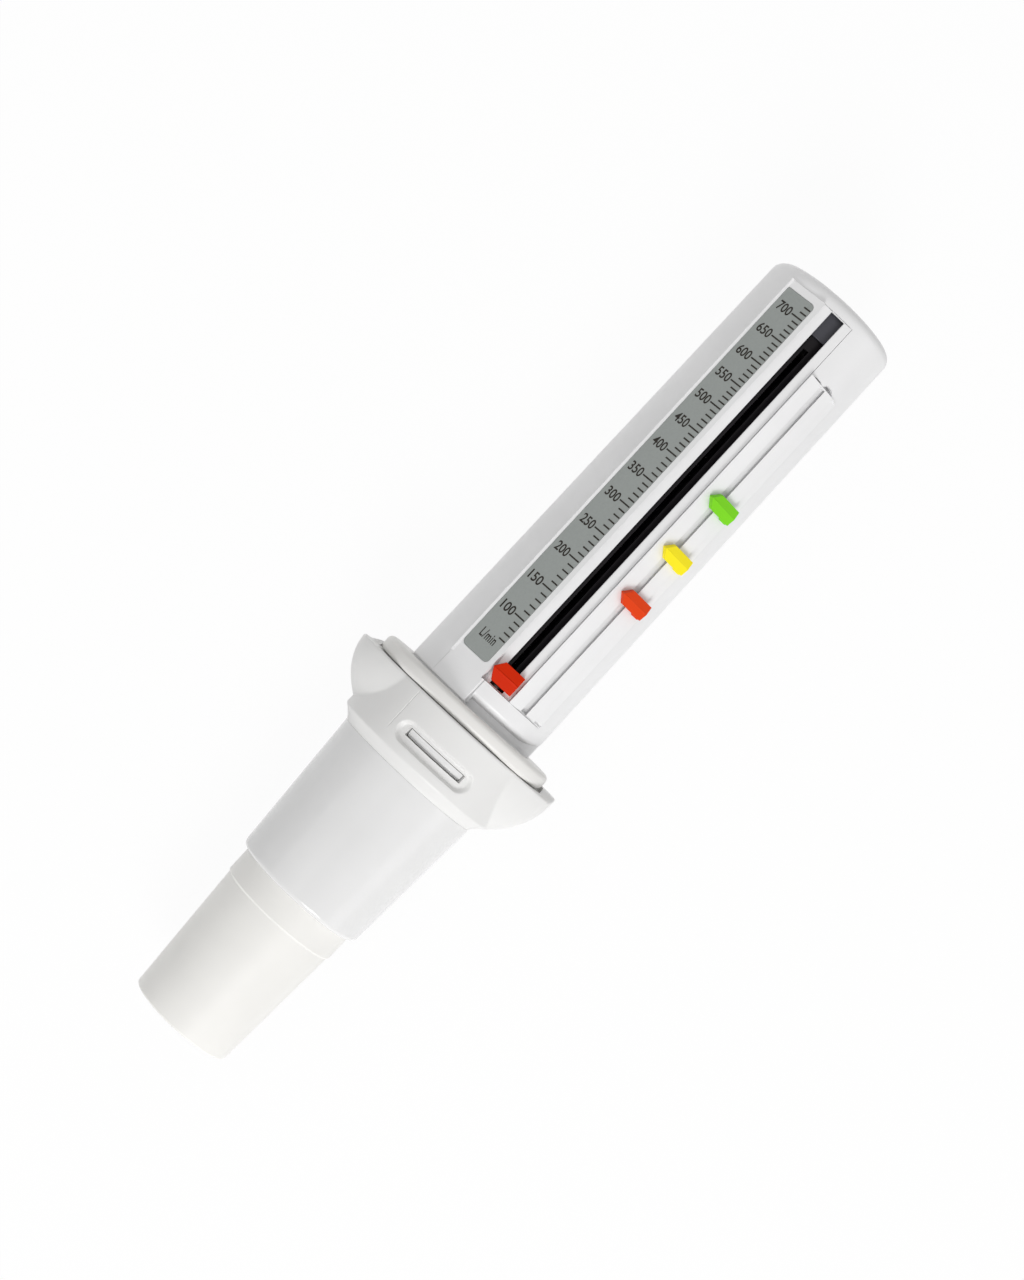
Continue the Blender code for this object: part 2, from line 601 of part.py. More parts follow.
def slider_head(name, length, ridge, left, right, tip, edge, height, base, material, turn, origin):
    """A small pointed slider: a five-sided plan with its tip at the left, under a gable roof."""
    plan = [(0.0, right), (length, right), (length, -left + tip), (ridge, -left), (0.0, -left + tip)]
    lay = Matrix.Translation((0.0, 0.0, base)) @ Matrix.Diagonal((1.0, -1.0, 1.0, 1.0))
    head = flat_outline(name, plan, 4.0 * height, lay, material, turn, origin)
    gable = [(0.0, 0.0), (length, 0.0), (length, edge), (ridge, height), (0.0, edge)]
    stand = Matrix.Translation((0.0, 0.0, base)) @ Matrix.Rotation(math.pi / 2.0, 4, "X")
    roof = flat_outline(name + "_roof", gable, 4.0 * (left + right), stand, turn=turn, origin=origin)
    return boolean(head, roof, "INTERSECT")


def make_pointer():
    """The red pointer, with the stem that reaches through the slot."""
    red = plastic("pointer_red", (0.74, 0.04, 0.003), 0.35)
    base = CHANNEL_FLOOR + CLEARANCE
    head = slider_head("pointer", POINTER_LENGTH, POINTER_RIDGE, POINTER_LEFT, POINTER_RIGHT,
                       POINTER_TIP_LENGTH, POINTER_EDGE_HEIGHT, POINTER_HEIGHT, base, red, 0.0, POINTER_AT)
    stem_side = POINTER_SLOT_WIDTH / 2.0 - CLEARANCE
    inset = 2.0 * CLEARANCE
    boolean(head, block("pointer_stem", POINTER_AT + inset, POINTER_AT + POINTER_LENGTH - inset, stem_side,
                        -stem_side, TRACK_BASE, base + POINTER_EDGE_HEIGHT / 2.0), "UNION")


def make_pointer_clip():
    """The clip that holds the pointer from behind and drags on the track."""
    side = FOOT_SLOT_WIDTH / 2.0 - CLEARANCE
    block("pointer_clip", POINTER_AT + CLIP_INSET, POINTER_AT + POINTER_LENGTH - CLIP_INSET, side, -side,
          CLIP_BASE, CLIP_TOP, plastic("clip_black", (0.02, 0.02, 0.022), 0.5), origin=POINTER_AT)


def make_zone_markers():
    """Three coloured markers, each with two feet that straddle the rail."""
    colours = {"red_marker": (0.83, 0.06, 0.01), "yellow_marker": (0.91, 0.75, 0.02),
               "green_marker": (0.08, 0.61, 0.02)}
    base = FACET_DISTANCE + CLEARANCE
    foot_low = FACET_DISTANCE - GROOVE_DEPTH + CLEARANCE
    foot_high = base + MARKER_EDGE_HEIGHT / 2.0
    inset = 2.0 * CLEARANCE
    for name, middle in MARKER_STATIONS.items():
        start = middle - MARKER_LENGTH / 2.0
        marker = slider_head(name, MARKER_LENGTH, MARKER_LENGTH / 2.0, MARKER_LEFT, MARKER_RIGHT,
                             MARKER_TIP_LENGTH, MARKER_EDGE_HEIGHT, MARKER_HEIGHT, base,
                             plastic(name + "_plastic", colours[name], 0.35), FACET_ANGLE, start)
        feet = [("_left_foot", LEFT_GROOVE - CLEARANCE, -RAIL_LEFT + CLEARANCE),
                ("_right_foot", -RAIL_RIGHT - CLEARANCE, -MARKER_RIGHT + CLEARANCE)]
        for suffix, left, right in feet:
            boolean(marker, block(name + suffix, start + inset, start + MARKER_LENGTH - inset, left, right,
                                  foot_low, foot_high, turn=FACET_ANGLE, origin=start), "UNION")


# Measuring tube, with its seal and end cap

def make_measuring_tube():
    """The black tube that the piston runs in; its narrow slot lets the air out as the piston moves."""
    outer = [(TUBE_AT, TUBE_RADIUS), (TUBE_END_AT, TUBE_RADIUS)]
    inner = [(TUBE_AT, TUBE_BORE_RADIUS), (TUBE_END_AT, TUBE_BORE_RADIUS)]
    tube = turned("measuring_tube", outer, inner, plastic("tube_black", (0.006, 0.006, 0.007), 0.25))
    boolean(tube, block("tube_slot", SOCKET_END_AT + CLEARANCE, BUMPER_AT, TUBE_SLOT_WIDTH / 2.0,
                        -TUBE_SLOT_WIDTH / 2.0, 0.0, 2.0 * TUBE_RADIUS))


def make_tube_seal():
    """The rubber ring between the measuring tube and the barrel."""
    section = (BARREL_BORE_RADIUS - TUBE_RADIUS) / 2.0 - CLEARANCE
    middle = (LEDGE_AT + SEAL_FROM_LEDGE + section, (BARREL_BORE_RADIUS + TUBE_RADIUS) / 2.0)
    outer = arc(middle, section, 180.0, 0.0, 4)
    inner = arc(middle, section, 180.0, 360.0, 4)[1:-1]
    turned("tube_seal", outer, inner, plastic("seal_rubber", (0.03, 0.03, 0.03), 0.8))


def make_tube_end_cap():
    """The cap that steadies the tube's far end and the guide rod, flattened where the clip passes."""
    start = TUBE_END_AT + CLEARANCE
    end = INNER_END_AT - CLEARANCE
    radius = BODY_BORE_RADIUS - CLEARANCE
    outer = [(start, radius), (end, radius)]
    inner = [(start, ROD_HOLE_RADIUS), (end, ROD_HOLE_RADIUS)]
    cap = turned("tube_end_cap", outer, inner, plastic("cap_grey", (0.07, 0.07, 0.09), 0.45))
    boolean(cap, block("cap_flat", RIM_AT, 2.0 * END_AT, radius, -radius, FINGER_TIP, 2.0 * radius))


# Piston on its guide rod, with the spring that draws it back

def make_piston():
    """A light disc with a skirt, a hub for the bush and a finger that reaches out to the pointer."""
    outer = [(PISTON_AT, PISTON_RADIUS), (PISTON_TOP_AT, PISTON_RADIUS)]
    skirt_bore = PISTON_RADIUS - PISTON_SKIRT
    hub_radius = HUB_BORE_RADIUS + HUB_WALL
    web_top = PISTON_AT + PISTON_WEB
    hub_top = PISTON_AT + HUB_HEIGHT
    inner = [(PISTON_AT, HUB_BORE_RADIUS), (hub_top, HUB_BORE_RADIUS), (hub_top, hub_radius),
             (web_top, hub_radius), (web_top, skirt_bore), (PISTON_TOP_AT, skirt_bore)]
    piston = turned("piston", outer, inner, plastic("piston_white", (0.75, 0.75, 0.74), 0.4))
    finger_side = TUBE_SLOT_WIDTH / 2.0 - CLEARANCE
    boolean(piston, block("piston_finger", PISTON_TOP_AT - FINGER_LENGTH, PISTON_TOP_AT, finger_side,
                          -finger_side, skirt_bore + PISTON_SKIRT / 4.0, FINGER_TIP), "UNION")


def ring(name, bore, radius, start, end, material, steps=24):
    """A plain ring on the tube axis."""
    return turned(name, [(start, radius), (end, radius)], [(start, bore), (end, bore)], material, steps)


def make_guide():
    """The rod, the nut that holds it, the bush that runs on it and its two stops."""
    spider_at = LEDGE_AT - LEDGE_LENGTH - CLEARANCE - SPIDER_THICKNESS
    nut_at = spider_at - CLEARANCE - NUT_THICKNESS
    cap_middle = (TUBE_END_AT + INNER_END_AT) / 2.0
    steel = plastic("rod_steel", (0.55, 0.56, 0.58), 0.25, 1.0)
    cylinder("guide_rod", ROD_RADIUS, nut_at - ROD_BELOW_NUT, cap_middle, steel, 16)
    ring("rod_nut", ROD_HOLE_RADIUS, NUT_RADIUS, nut_at, nut_at + NUT_THICKNESS,
         plastic("nut_steel", (0.5, 0.5, 0.5), 0.35, 1.0), 6)
    bush_at = PISTON_AT - BUSH_OVERHANG
    ring("piston_bush", ROD_HOLE_RADIUS, BUSH_RADIUS, bush_at, PISTON_AT + HUB_HEIGHT + BUSH_STAND,
         plastic("bush_nylon", (0.6, 0.58, 0.5), 0.5), 16)
    ring("rest_stop", ROD_HOLE_RADIUS, BUSH_RADIUS, bush_at - CLEARANCE - STOP_THICKNESS,
         bush_at - CLEARANCE, plastic("stop_steel", (0.5, 0.5, 0.5), 0.35, 1.0), 16)
    ring("top_bumper", ROD_HOLE_RADIUS, BUMPER_RADIUS, BUMPER_AT, TUBE_END_AT,
         plastic("bumper_rubber", (0.03, 0.03, 0.03), 0.8))
    make_spider(spider_at)
    make_spring(spider_at + SPIDER_THICKNESS + CLEARANCE, PISTON_AT - CLEARANCE)


def make_spider(start):
    """The open anchor behind the ledge: a ring, a hub and three arms, so that the breath passes."""
    end = start + SPIDER_THICKNESS
    radius = PASSAGE_RADIUS - CLEARANCE
    spider = ring("spring_anchor", radius - SPIDER_RING_WALL, radius, start, end,
                  plastic("anchor_white", (0.7, 0.7, 0.7), 0.45), TURN_STEPS)
    hub = ring("anchor_hub", ROD_HOLE_RADIUS, SPIDER_HUB_RADIUS, start, end, None)
    boolean(spider, hub, "UNION")
    arm_start = (ROD_HOLE_RADIUS + SPIDER_HUB_RADIUS) / 2.0
    arm_end = radius - SPIDER_RING_WALL / 2.0
    for i in range(3):
        boolean(spider, block(f"anchor_arm_{i + 1}", start, end, SPIDER_ARM_WIDTH / 2.0,
                              -SPIDER_ARM_WIDTH / 2.0, arm_start, arm_end,
                              turn=2.0 * math.pi * i / 3.0), "UNION")


def make_spring(start, end):
    """The long soft spring round the rod, from the anchor to the piston."""
    curve = bpy.data.curves.new("return_spring", "CURVE")
    curve.dimensions = "3D"
    curve.bevel_depth = SPRING_WIRE_RADIUS
    curve.bevel_resolution = 1
    curve.use_fill_caps = True
    points_per_turn = 12
    count = SPRING_TURNS * points_per_turn + 1
    first = start + SPRING_WIRE_RADIUS
    last = end - SPRING_WIRE_RADIUS
    spline = curve.splines.new("POLY")
    spline.points.add(count - 1)
    for i, point in enumerate(spline.points):
        angle = 2.0 * math.pi * i / points_per_turn
        station = first + (last - first) * i / (count - 1)
        point.co = (station, SPRING_MEAN_RADIUS * math.cos(angle), SPRING_MEAN_RADIUS * math.sin(angle), 1.0)
    spring = bpy.data.objects.new("return_spring", curve)
    PARTS.objects.link(spring)
    curve.materials.append(plastic("spring_steel", (0.6, 0.6, 0.6), 0.25, 1.0))
    place(spring)


make_mouthpiece()
make_barrel()
make_hand_guard()
make_locking_ring()
make_body_shell()
make_scale_plate()
make_scale_label()
make_pointer_track()
make_marker_track()
make_pointer()
make_pointer_clip()
make_zone_markers()
make_measuring_tube()
make_tube_seal()
make_tube_end_cap()
make_piston()
make_guide()
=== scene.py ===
"""Looks of a hand-held peak flow meter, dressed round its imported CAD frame.

Sizes are in millimetres and become metres as a mesh is made. A station is a distance along the tube from
the mouthpiece's lip, the way +X runs. A turn about the tube's axis is zero at the scale side (+Z) and
grows to the right of the scale (-Y).
"""
import math

import bmesh
import bpy
import numpy as np
from mathutils import Matrix, Vector


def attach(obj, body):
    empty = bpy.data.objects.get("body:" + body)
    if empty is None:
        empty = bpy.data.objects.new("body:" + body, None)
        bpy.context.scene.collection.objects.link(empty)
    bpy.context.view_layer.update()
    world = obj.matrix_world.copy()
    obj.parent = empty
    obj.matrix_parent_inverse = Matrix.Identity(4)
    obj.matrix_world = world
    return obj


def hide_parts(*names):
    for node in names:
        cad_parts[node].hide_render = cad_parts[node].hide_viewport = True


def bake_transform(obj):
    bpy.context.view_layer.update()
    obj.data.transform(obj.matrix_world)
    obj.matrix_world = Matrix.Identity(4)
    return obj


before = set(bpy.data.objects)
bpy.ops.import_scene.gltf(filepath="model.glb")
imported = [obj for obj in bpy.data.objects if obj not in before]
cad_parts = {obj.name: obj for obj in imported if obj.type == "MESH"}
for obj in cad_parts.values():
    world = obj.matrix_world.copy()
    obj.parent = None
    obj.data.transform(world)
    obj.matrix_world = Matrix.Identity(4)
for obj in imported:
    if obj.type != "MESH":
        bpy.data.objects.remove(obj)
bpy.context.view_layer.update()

# Camera: it looks square down on the scale, with the tube laid across the picture from the lower left
# (mouthpiece) to the upper right (closed end), and leans a little towards the label's side.
MM = 0.001
HALF_LENGTH = 107.3
AXIS_HEIGHT = 18.6
LEAN = math.radians(4.8)
PICTURE_TURN = math.radians(47.28)
AIM_STATION = 111.9
CAMERA_DISTANCE = 549.0
AIM_SHIFT = 3.17
FOCAL_LENGTH = 69.47

along = Vector((1.0, 0.0, 0.0))
rightwards = Vector((0.0, -math.cos(LEAN), math.sin(LEAN)))
upwards = Vector((0.0, math.sin(LEAN), math.cos(LEAN)))
picture_right = math.cos(PICTURE_TURN) * along + math.sin(PICTURE_TURN) * rightwards
picture_up = math.sin(PICTURE_TURN) * along - math.cos(PICTURE_TURN) * rightwards
aim = Vector((AIM_STATION - HALF_LENGTH, 0.0, AXIS_HEIGHT)) - AIM_SHIFT * rightwards
lens = bpy.data.cameras.new("camera")
lens.lens = FOCAL_LENGTH
lens.sensor_width = 36.0
lens.clip_start = 0.01
camera = bpy.data.objects.new("camera", lens)
camera.matrix_world = (Matrix.Translation((aim + CAMERA_DISTANCE * upwards) * MM)
                       @ Matrix((picture_right, picture_up, upwards)).transposed().to_4x4())
bpy.context.scene.collection.objects.link(camera)
bpy.context.scene.camera = camera
bpy.context.scene.view_settings.view_transform = "Standard"


# Lamps: a large soft box from the mouthpiece's end and the right, which gives the bright right side and
# the soft shadows behind the sliders, with weaker boxes from the other sides and an even white room.
def softbox(name, direction, distance, size, power, tint):
    """A rectangular lamp at a distance in a direction from the object's middle, turned to face it."""
    light = bpy.data.lights.new(name, "AREA")
    light.shape = "RECTANGLE"
    light.size, light.size_y = size
    light.energy = power
    light.color = tint
    lamp = bpy.data.objects.new(name, light)
    towards = Vector(direction).normalized()
    lamp.location = towards * distance
    lamp.rotation_euler = towards.to_track_quat("Z", "Y").to_euler()
    bpy.context.scene.collection.objects.link(lamp)


softbox("key_box", (-0.8, -0.5, 0.82), 1.3, (0.6, 0.6), 9.9, (1.0, 0.995, 0.99))
softbox("top_box", (-0.1, 0.6, 0.9), 1.3, (1.2, 1.2), 2.9, (1.0, 1.0, 1.0))
softbox("side_box", (0.1, -1.0, 0.35), 1.2, (1.4, 0.5), 1.6, (1.0, 1.0, 1.0))
softbox("far_box", (0.9, 0.35, 0.6), 1.4, (0.9, 0.7), 1.2, (1.0, 0.97, 0.93))

ROOM_STRENGTH = 0.42


def seen_by(tree, kinds):
    """A number that is 1 for the named kinds of ray and 0 for the others: the largest of their flags."""
    rays = tree.nodes.new("ShaderNodeLightPath")
    flag = rays.outputs[kinds[0]]
    for kind in kinds[1:]:
        either = tree.nodes.new("ShaderNodeMath")
        either.operation = "MAXIMUM"
        tree.links.new(flag, either.inputs[0])
        tree.links.new(rays.outputs[kind], either.inputs[1])
        flag = either.outputs[0]
    return flag


world = bpy.data.worlds.new("white_room")
bpy.context.scene.world = world
world.use_nodes = True
nodes, links = world.node_tree.nodes, world.node_tree.links
level = nodes.new("ShaderNodeMapRange")
level.inputs["To Min"].default_value = ROOM_STRENGTH
level.inputs["To Max"].default_value = 1.0
shown = seen_by(world.node_tree, ["Is Camera Ray", "Is Glossy Ray", "Is Transmission Ray"])
links.new(shown, level.inputs["Value"])
links.new(level.outputs[0], nodes["Background"].inputs["Strength"])
nodes["Background"].inputs["Color"].default_value = (1.0, 1.0, 1.0, 1.0)

# Floor: a wide pale table, mostly its own white to the camera, so that a soft shadow stays on it.
FLOOR_REACH = 3000.0
FLOOR_DROP = 0.05
FLOOR_GLOW = 0.94
table = bpy.data.meshes.new("floor")
table.from_pydata([(x * FLOOR_REACH * MM, y * FLOOR_REACH * MM, -FLOOR_DROP * MM)
                   for x, y in ((-1, -1), (1, -1), (1, 1), (-1, 1))], [], [(0, 1, 2, 3)])
floor = bpy.data.objects.new("floor", table)
bpy.context.scene.collection.objects.link(floor)
floor_paint = bpy.data.materials.new("floor_white")
floor_paint.use_nodes = True
nodes, links = floor_paint.node_tree.nodes, floor_paint.node_tree.links
paint = nodes["Principled BSDF"]
paint.inputs["Base Color"].default_value = (0.9, 0.9, 0.9, 1.0)
paint.inputs["Roughness"].default_value = 0.9
paint.inputs["Specular IOR Level"].default_value = 0.0
share = nodes.new("ShaderNodeMath")
share.operation = "MULTIPLY"
share.inputs[1].default_value = FLOOR_GLOW
blend = nodes.new("ShaderNodeMixShader")
links.new(seen_by(floor_paint.node_tree, ["Is Camera Ray", "Is Glossy Ray"]), share.inputs[0])
links.new(share.outputs[0], blend.inputs[0])
links.new(paint.outputs[0], blend.inputs[1])
links.new(nodes.new("ShaderNodeEmission").outputs[0], blend.inputs[2])
links.new(blend.outputs[0], nodes["Material Output"].inputs["Surface"])
table.materials.append(floor_paint)


# Mouthpiece: a thin tapered tube of ivory plastic with a rounded lip and a small shoulder, moulded in one
# piece. Its straight end is pushed into the barrel and pulls off for washing.
LIP_RADIUS = 12.92
TAPER_END = (32.0, 14.55)
SHOULDER_LENGTH = 0.4
INSERT_RADIUS = 14.9
MOUTHPIECE_END = 49.5
MOUTHPIECE_WALL = 1.3
MOUTHPIECE_ROUNDS = [0.62, 0.64, 0.25, 0.2, 0.3, 0.3, 15.0]
MOUTHPIECE_COLOUR = (0.83, 0.822, 0.797)
MERGE_DISTANCE = 0.0005
FIELD_ENDS = (0.3, 0.7)


def grid_quads(rows, columns, close_rows=False):
    """Corner numbers of the quads of a grid of points whose rows are closed rings. Closed, the last row
    joins the first."""
    i, j = np.meshgrid(np.arange(rows if close_rows else rows - 1), np.arange(columns), indexing="ij")
    down, beside = (i + 1) % rows, (j + 1) % columns
    corners = [i * columns + j, down * columns + j, down * columns + beside, i * columns + beside]
    return np.stack(corners, -1).reshape(-1, 4)


def closed_up(mesh):
    """Merges a mesh's doubles, drops edges without faces and turns all faces outwards."""
    shape = bmesh.new()
    shape.from_mesh(mesh)
    bmesh.ops.remove_doubles(shape, verts=shape.verts, dist=MERGE_DISTANCE * MM)
    bmesh.ops.delete(shape, geom=[edge for edge in shape.edges if not edge.link_faces], context="EDGES")
    bmesh.ops.recalc_face_normals(shape, faces=shape.faces)
    shape.to_mesh(mesh)
    shape.free()


def solid(name, points, quads, material, crease=32.0, bevel=0.0):
    """A closed mesh object from arrays of points and quads, smooth but for edges sharper than the crease
    angle, with its large faces kept flat. A bevel's width softens its edges."""
    mesh = bpy.data.meshes.new(name)
    mesh.from_pydata((points.reshape(-1, 3) * MM).tolist(), [], quads.tolist())
    closed_up(mesh)
    mesh.shade_smooth()
    mesh.set_sharp_from_angle(angle=math.radians(crease))
    mesh.materials.append(material)
    piece = bpy.data.objects.new(name, mesh)
    bpy.context.scene.collection.objects.link(piece)
    if bevel:
        soften = piece.modifiers.new("soften", "BEVEL")
        soften.width = bevel * MM
        soften.segments = 3
        soften.limit_method = "ANGLE"
        soften.angle_limit = math.radians(25.0)
    piece.modifiers.new("large_faces_flat", "WEIGHTED_NORMAL").keep_sharp = True
    return piece


def fitted(piece, body, node=None):
    """Hangs a piece on the body that it rides on, and hides the CAD node that it stands for, if one is given.
    """
    if node:
        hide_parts(node)
    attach(piece, body)


def rounded(corners, radii, steps=6):
    """A closed outline with its corners rounded. Each is the circle arc that touches both sides, written as
    a rational quadratic curve whose middle weight is the cosine of half the turn."""
    corners = np.asarray(corners, float)
    before = np.roll(corners, 1, 0) - corners
    after = np.roll(corners, -1, 0) - corners
    before /= np.linalg.norm(before, axis=1, keepdims=True)
    after /= np.linalg.norm(after, axis=1, keepdims=True)
    half = np.arccos(np.clip((before * after).sum(1), -1.0, 1.0)) / 2.0
    reach = (np.broadcast_to(radii, half.shape) / np.tan(half))[:, None, None]
    t = np.linspace(0.0, 1.0, steps + 1)[None, :, None]
    start, middle, end = (1 - t) ** 2, 2 * t * (1 - t) * np.sin(half)[:, None, None], t ** 2
    at = corners[:, None]
    curve = start * (at + before[:, None] * reach) + middle * at + end * (at + after[:, None] * reach)
    return (curve / (start + middle + end)).reshape(-1, 2)


def about_axis(station, radius, turn):
    """Points about the tube's axis: x is the station less half the length, y is minus the radius times the
    sine of the turn, and z is the axis height plus the radius times its cosine."""
    spread = np.broadcast_arrays(station - HALF_LENGTH, -radius * np.sin(turn),
                                 AXIS_HEIGHT + radius * np.cos(turn))
    return np.stack(spread, -1)


def turned(name, outline, material, steps=144):
    """A turned piece: a closed outline of stations and radii carried round the tube's axis."""
    turns = np.linspace(0.0, 2.0 * np.pi, steps, endpoint=False)
    points = about_axis(outline[:, :1], outline[:, 1:], turns[None])
    return solid(name, points, grid_quads(len(outline), steps, close_rows=True), material)


def cloud(material, size, detail, stretch=(1.0, 1.0, 1.0)):
    """A noise field on Object coordinates, with blotches about size millimetres across before a stretch."""
    nodes, links = material.node_tree.nodes, material.node_tree.links
    place = nodes.new("ShaderNodeTexCoord")
    fit = nodes.new("ShaderNodeMapping")
    fit.inputs["Scale"].default_value = [1.0 / (size * MM * s) for s in stretch]
    field = nodes.new("ShaderNodeTexNoise")
    field.inputs["Scale"].default_value = 1.0
    field.inputs["Detail"].default_value = detail
    links.new(place.outputs["Object"], fit.inputs["Vector"])
    links.new(fit.outputs["Vector"], field.inputs["Vector"])
    return field.outputs["Fac"]


def finish(name, colours, blotches, roughness, patches, grain, relief, depth=0.02, shine=0.5, metal=0.0):
    """A material from three noise fields, each given by its size, detail and stretch. The colour and the
    roughness run between their two values over the first and second field, and the third is bump."""
    material = bpy.data.materials.new(name)
    material.use_nodes = True
    nodes, links = material.node_tree.nodes, material.node_tree.links
    shader = nodes["Principled BSDF"]
    shader.inputs["Specular IOR Level"].default_value = shine
    shader.inputs["Metallic"].default_value = metal
    drift = nodes.new("ShaderNodeValToRGB")
    for stop, place, colour in zip(drift.color_ramp.elements, FIELD_ENDS, colours):
        stop.position, stop.color = place, (*colour, 1.0)
    wear = nodes.new("ShaderNodeMapRange")
    wear.inputs["From Min"].default_value, wear.inputs["From Max"].default_value = FIELD_ENDS
    wear.inputs["To Min"].default_value, wear.inputs["To Max"].default_value = roughness
    bump = nodes.new("ShaderNodeBump")
    bump.inputs["Strength"].default_value = relief
    bump.inputs["Distance"].default_value = depth * MM
    links.new(cloud(material, *blotches), drift.inputs["Fac"])
    links.new(cloud(material, *patches), wear.inputs["Value"])
    links.new(cloud(material, *grain), bump.inputs["Height"])
    links.new(drift.outputs["Color"], shader.inputs["Base Color"])
    links.new(wear.outputs[0], shader.inputs["Roughness"])
    links.new(bump.outputs["Normal"], shader.inputs["Normal"])
    return material


def moulded_plastic(name, colour, roughness, tint=0.03, patch=0.05, grain=0.12, grain_size=0.25, shine=0.5):
    """Moulded plastic: the colour drifts by the tint over soft clouds, the roughness by the patch over
    smaller ones, and the mould's fine grain stands as bump."""
    colour = np.array(colour)
    return finish(name, (colour * (1.0 - tint), np.minimum(colour * (1.0 + tint), 1.0)), (22.0, 3.0),
                  (roughness - patch, roughness + patch), (6.0, 4.0), (grain_size, 1.0), grain, shine=shine)


mouthpiece_outline = rounded(
    [(0.0, LIP_RADIUS - MOUTHPIECE_WALL), (0.0, LIP_RADIUS), TAPER_END,
     (TAPER_END[0] + SHOULDER_LENGTH, INSERT_RADIUS), (MOUTHPIECE_END, INSERT_RADIUS),
     (MOUTHPIECE_END, INSERT_RADIUS - MOUTHPIECE_WALL), (TAPER_END[0], INSERT_RADIUS - MOUTHPIECE_WALL)],
    MOUTHPIECE_ROUNDS)
mouthpiece = turned("mouthpiece_shell", mouthpiece_outline,
                    moulded_plastic("mouthpiece_ivory_plastic", MOUTHPIECE_COLOUR, 0.42))
fitted(mouthpiece, "mouthpiece", "mouthpiece")


# Barrel: the glossy white sleeve that holds the mouthpiece, the ledge of the measuring tube and the
# spigot on which the hand guard sits. One moulding, polished outside.
BARREL_START, BARREL_END = 38.6, 74.4
BARREL_RIM_RADIUS, BARREL_RADIUS = 16.5, 18.4
BARREL_BORE = 14.0
SOCKET_END, SOCKET_RADIUS = 49.8, 14.97
LEDGE_START, LEDGE_END, LEDGE_BORE = 66.0, 69.7, 12.2
SPIGOT_END, SPIGOT_RADIUS, SPIGOT_BORE = 91.0, 16.6, 14.7
BARREL_ROUNDS = [0.2, 1.3, 0.08, 0.1, 0.3, 0.3, 0.1, 0.2, 0.2, 0.1, 0.1, 0.1]
BARREL_COLOUR = (0.76, 0.76, 0.76)
barrel_outline = rounded(
    [(BARREL_START, SOCKET_RADIUS), (BARREL_START, BARREL_RIM_RADIUS), (BARREL_END, BARREL_RADIUS),
     (BARREL_END, SPIGOT_RADIUS), (SPIGOT_END, SPIGOT_RADIUS), (SPIGOT_END, SPIGOT_BORE),
     (LEDGE_END, SPIGOT_BORE), (LEDGE_END, LEDGE_BORE), (LEDGE_START, LEDGE_BORE), (LEDGE_START, BARREL_BORE),
     (SOCKET_END, BARREL_BORE), (SOCKET_END, SOCKET_RADIUS)], BARREL_ROUNDS)
barrel_plastic = moulded_plastic("barrel_gloss_plastic", BARREL_COLOUR, 0.16, patch=0.03, grain=0.04,
                                 grain_size=0.8)
barrel = turned("barrel_sleeve", barrel_outline, barrel_plastic, 192)
fitted(barrel, "housing", "barrel")


# Hand guard: a satin collar with a lobe at each side that keeps fingers off the sliders, and a slot in a
# shallow recess at the front. One moulding, clipped over the barrel's spigot, flat at the back to lie on.
GUARD_START = 74.42
GUARD_RIM_STATION = 91.0
GUARD_FOOT_RADIUS = 18.42
GUARD_RADIUS = 20.9
GUARD_BORE = 16.9
FLARE_LENGTH, FLARE_POWER = 2.7, 1.3
LOBE_HALF_WIDTH = 28.2
LOBE_HALF_DEPTH = 16.4
LOBE_DROP = 19.5
LOBE_DROP_SKEW = 1.9
RIM_RISE = 1.3
RIM_RISE_RADIUS = 24.4
GUARD_RIM_ROUND = 0.5
RECESS_MIDDLE = 82.1
RECESS_HALF_LENGTH = 2.8
RECESS_HALF_WIDTH = 10.5
RECESS_DEPTH = 1.0
RECESS_SLOPE = 0.8
GRIP_SLOT_MIDDLE = 82.45
GRIP_SLOT_HALF_LENGTH = 1.05
GRIP_SLOT_HALF_WIDTH = 7.95
CREASE_TURN = -34.3
CREASE_HALF_ANGLE = 0.6
CREASE_DEPTH = 0.18
CREASE_START, CREASE_FADE = 79.5, 3.0
GUARD_COLOUR = (0.77, 0.768, 0.76)
OUT_OF_REACH = 99.0


def soft_max(a, b, blur):
    """The larger of two fields, with the change from one to the other rounded over about the blur."""
    return blur * np.logaddexp(a / blur, b / blur)


def soft_min(a, b, blur):
    """The smaller of two fields, with the change rounded over about the blur."""
    return -soft_max(-a, -b, blur)


def cut_flat(radius, facing, distance, blur):
    """A radius cut level by a flat at a distance from the axis: the smaller of it and the distance over the
    facing, which is the cosine of the turn away from the flat."""
    return soft_min(radius, np.where(facing > 0.3, distance / np.maximum(facing, 0.3), OUT_OF_REACH), blur)


def smooth_step(field):
    """Runs smoothly from 0 to 1 as the field does, and stays there outside."""
    field = np.clip(field, 0.0, 1.0)
    return field * field * (3.0 - 2.0 * field)


def walled(name, outer, inner, material, keep, closed_end=False):
    """A wall between two matching grids that run round the tube. Cells left out of keep are holes, and side
    faces join the two skins at holes and at open ends."""
    rows, columns = outer.shape[:2]
    count = rows * columns
    skin = grid_quads(rows, columns).reshape(rows - 1, columns, 4)[keep]
    edge = np.zeros((rows + 1, columns), bool)
    edge[1:-1] = keep
    crossing = edge[:-1] != edge[1:]
    if closed_end:
        crossing[-1] = False
    i, j = np.nonzero(crossing)
    beside = (j + 1) % columns
    end_walls = np.stack([i * columns + j, i * columns + beside, i * columns + beside + count,
                          i * columns + j + count], -1)
    i, j = np.nonzero(keep != np.roll(keep, 1, axis=1))
    side_walls = np.stack([i * columns + j, (i + 1) * columns + j, (i + 1) * columns + j + count,
                           i * columns + j + count], -1)
    quads = np.concatenate([skin, skin[:, ::-1] + count, end_walls, side_walls])
    return solid(name, np.stack([outer, inner]), quads, material)


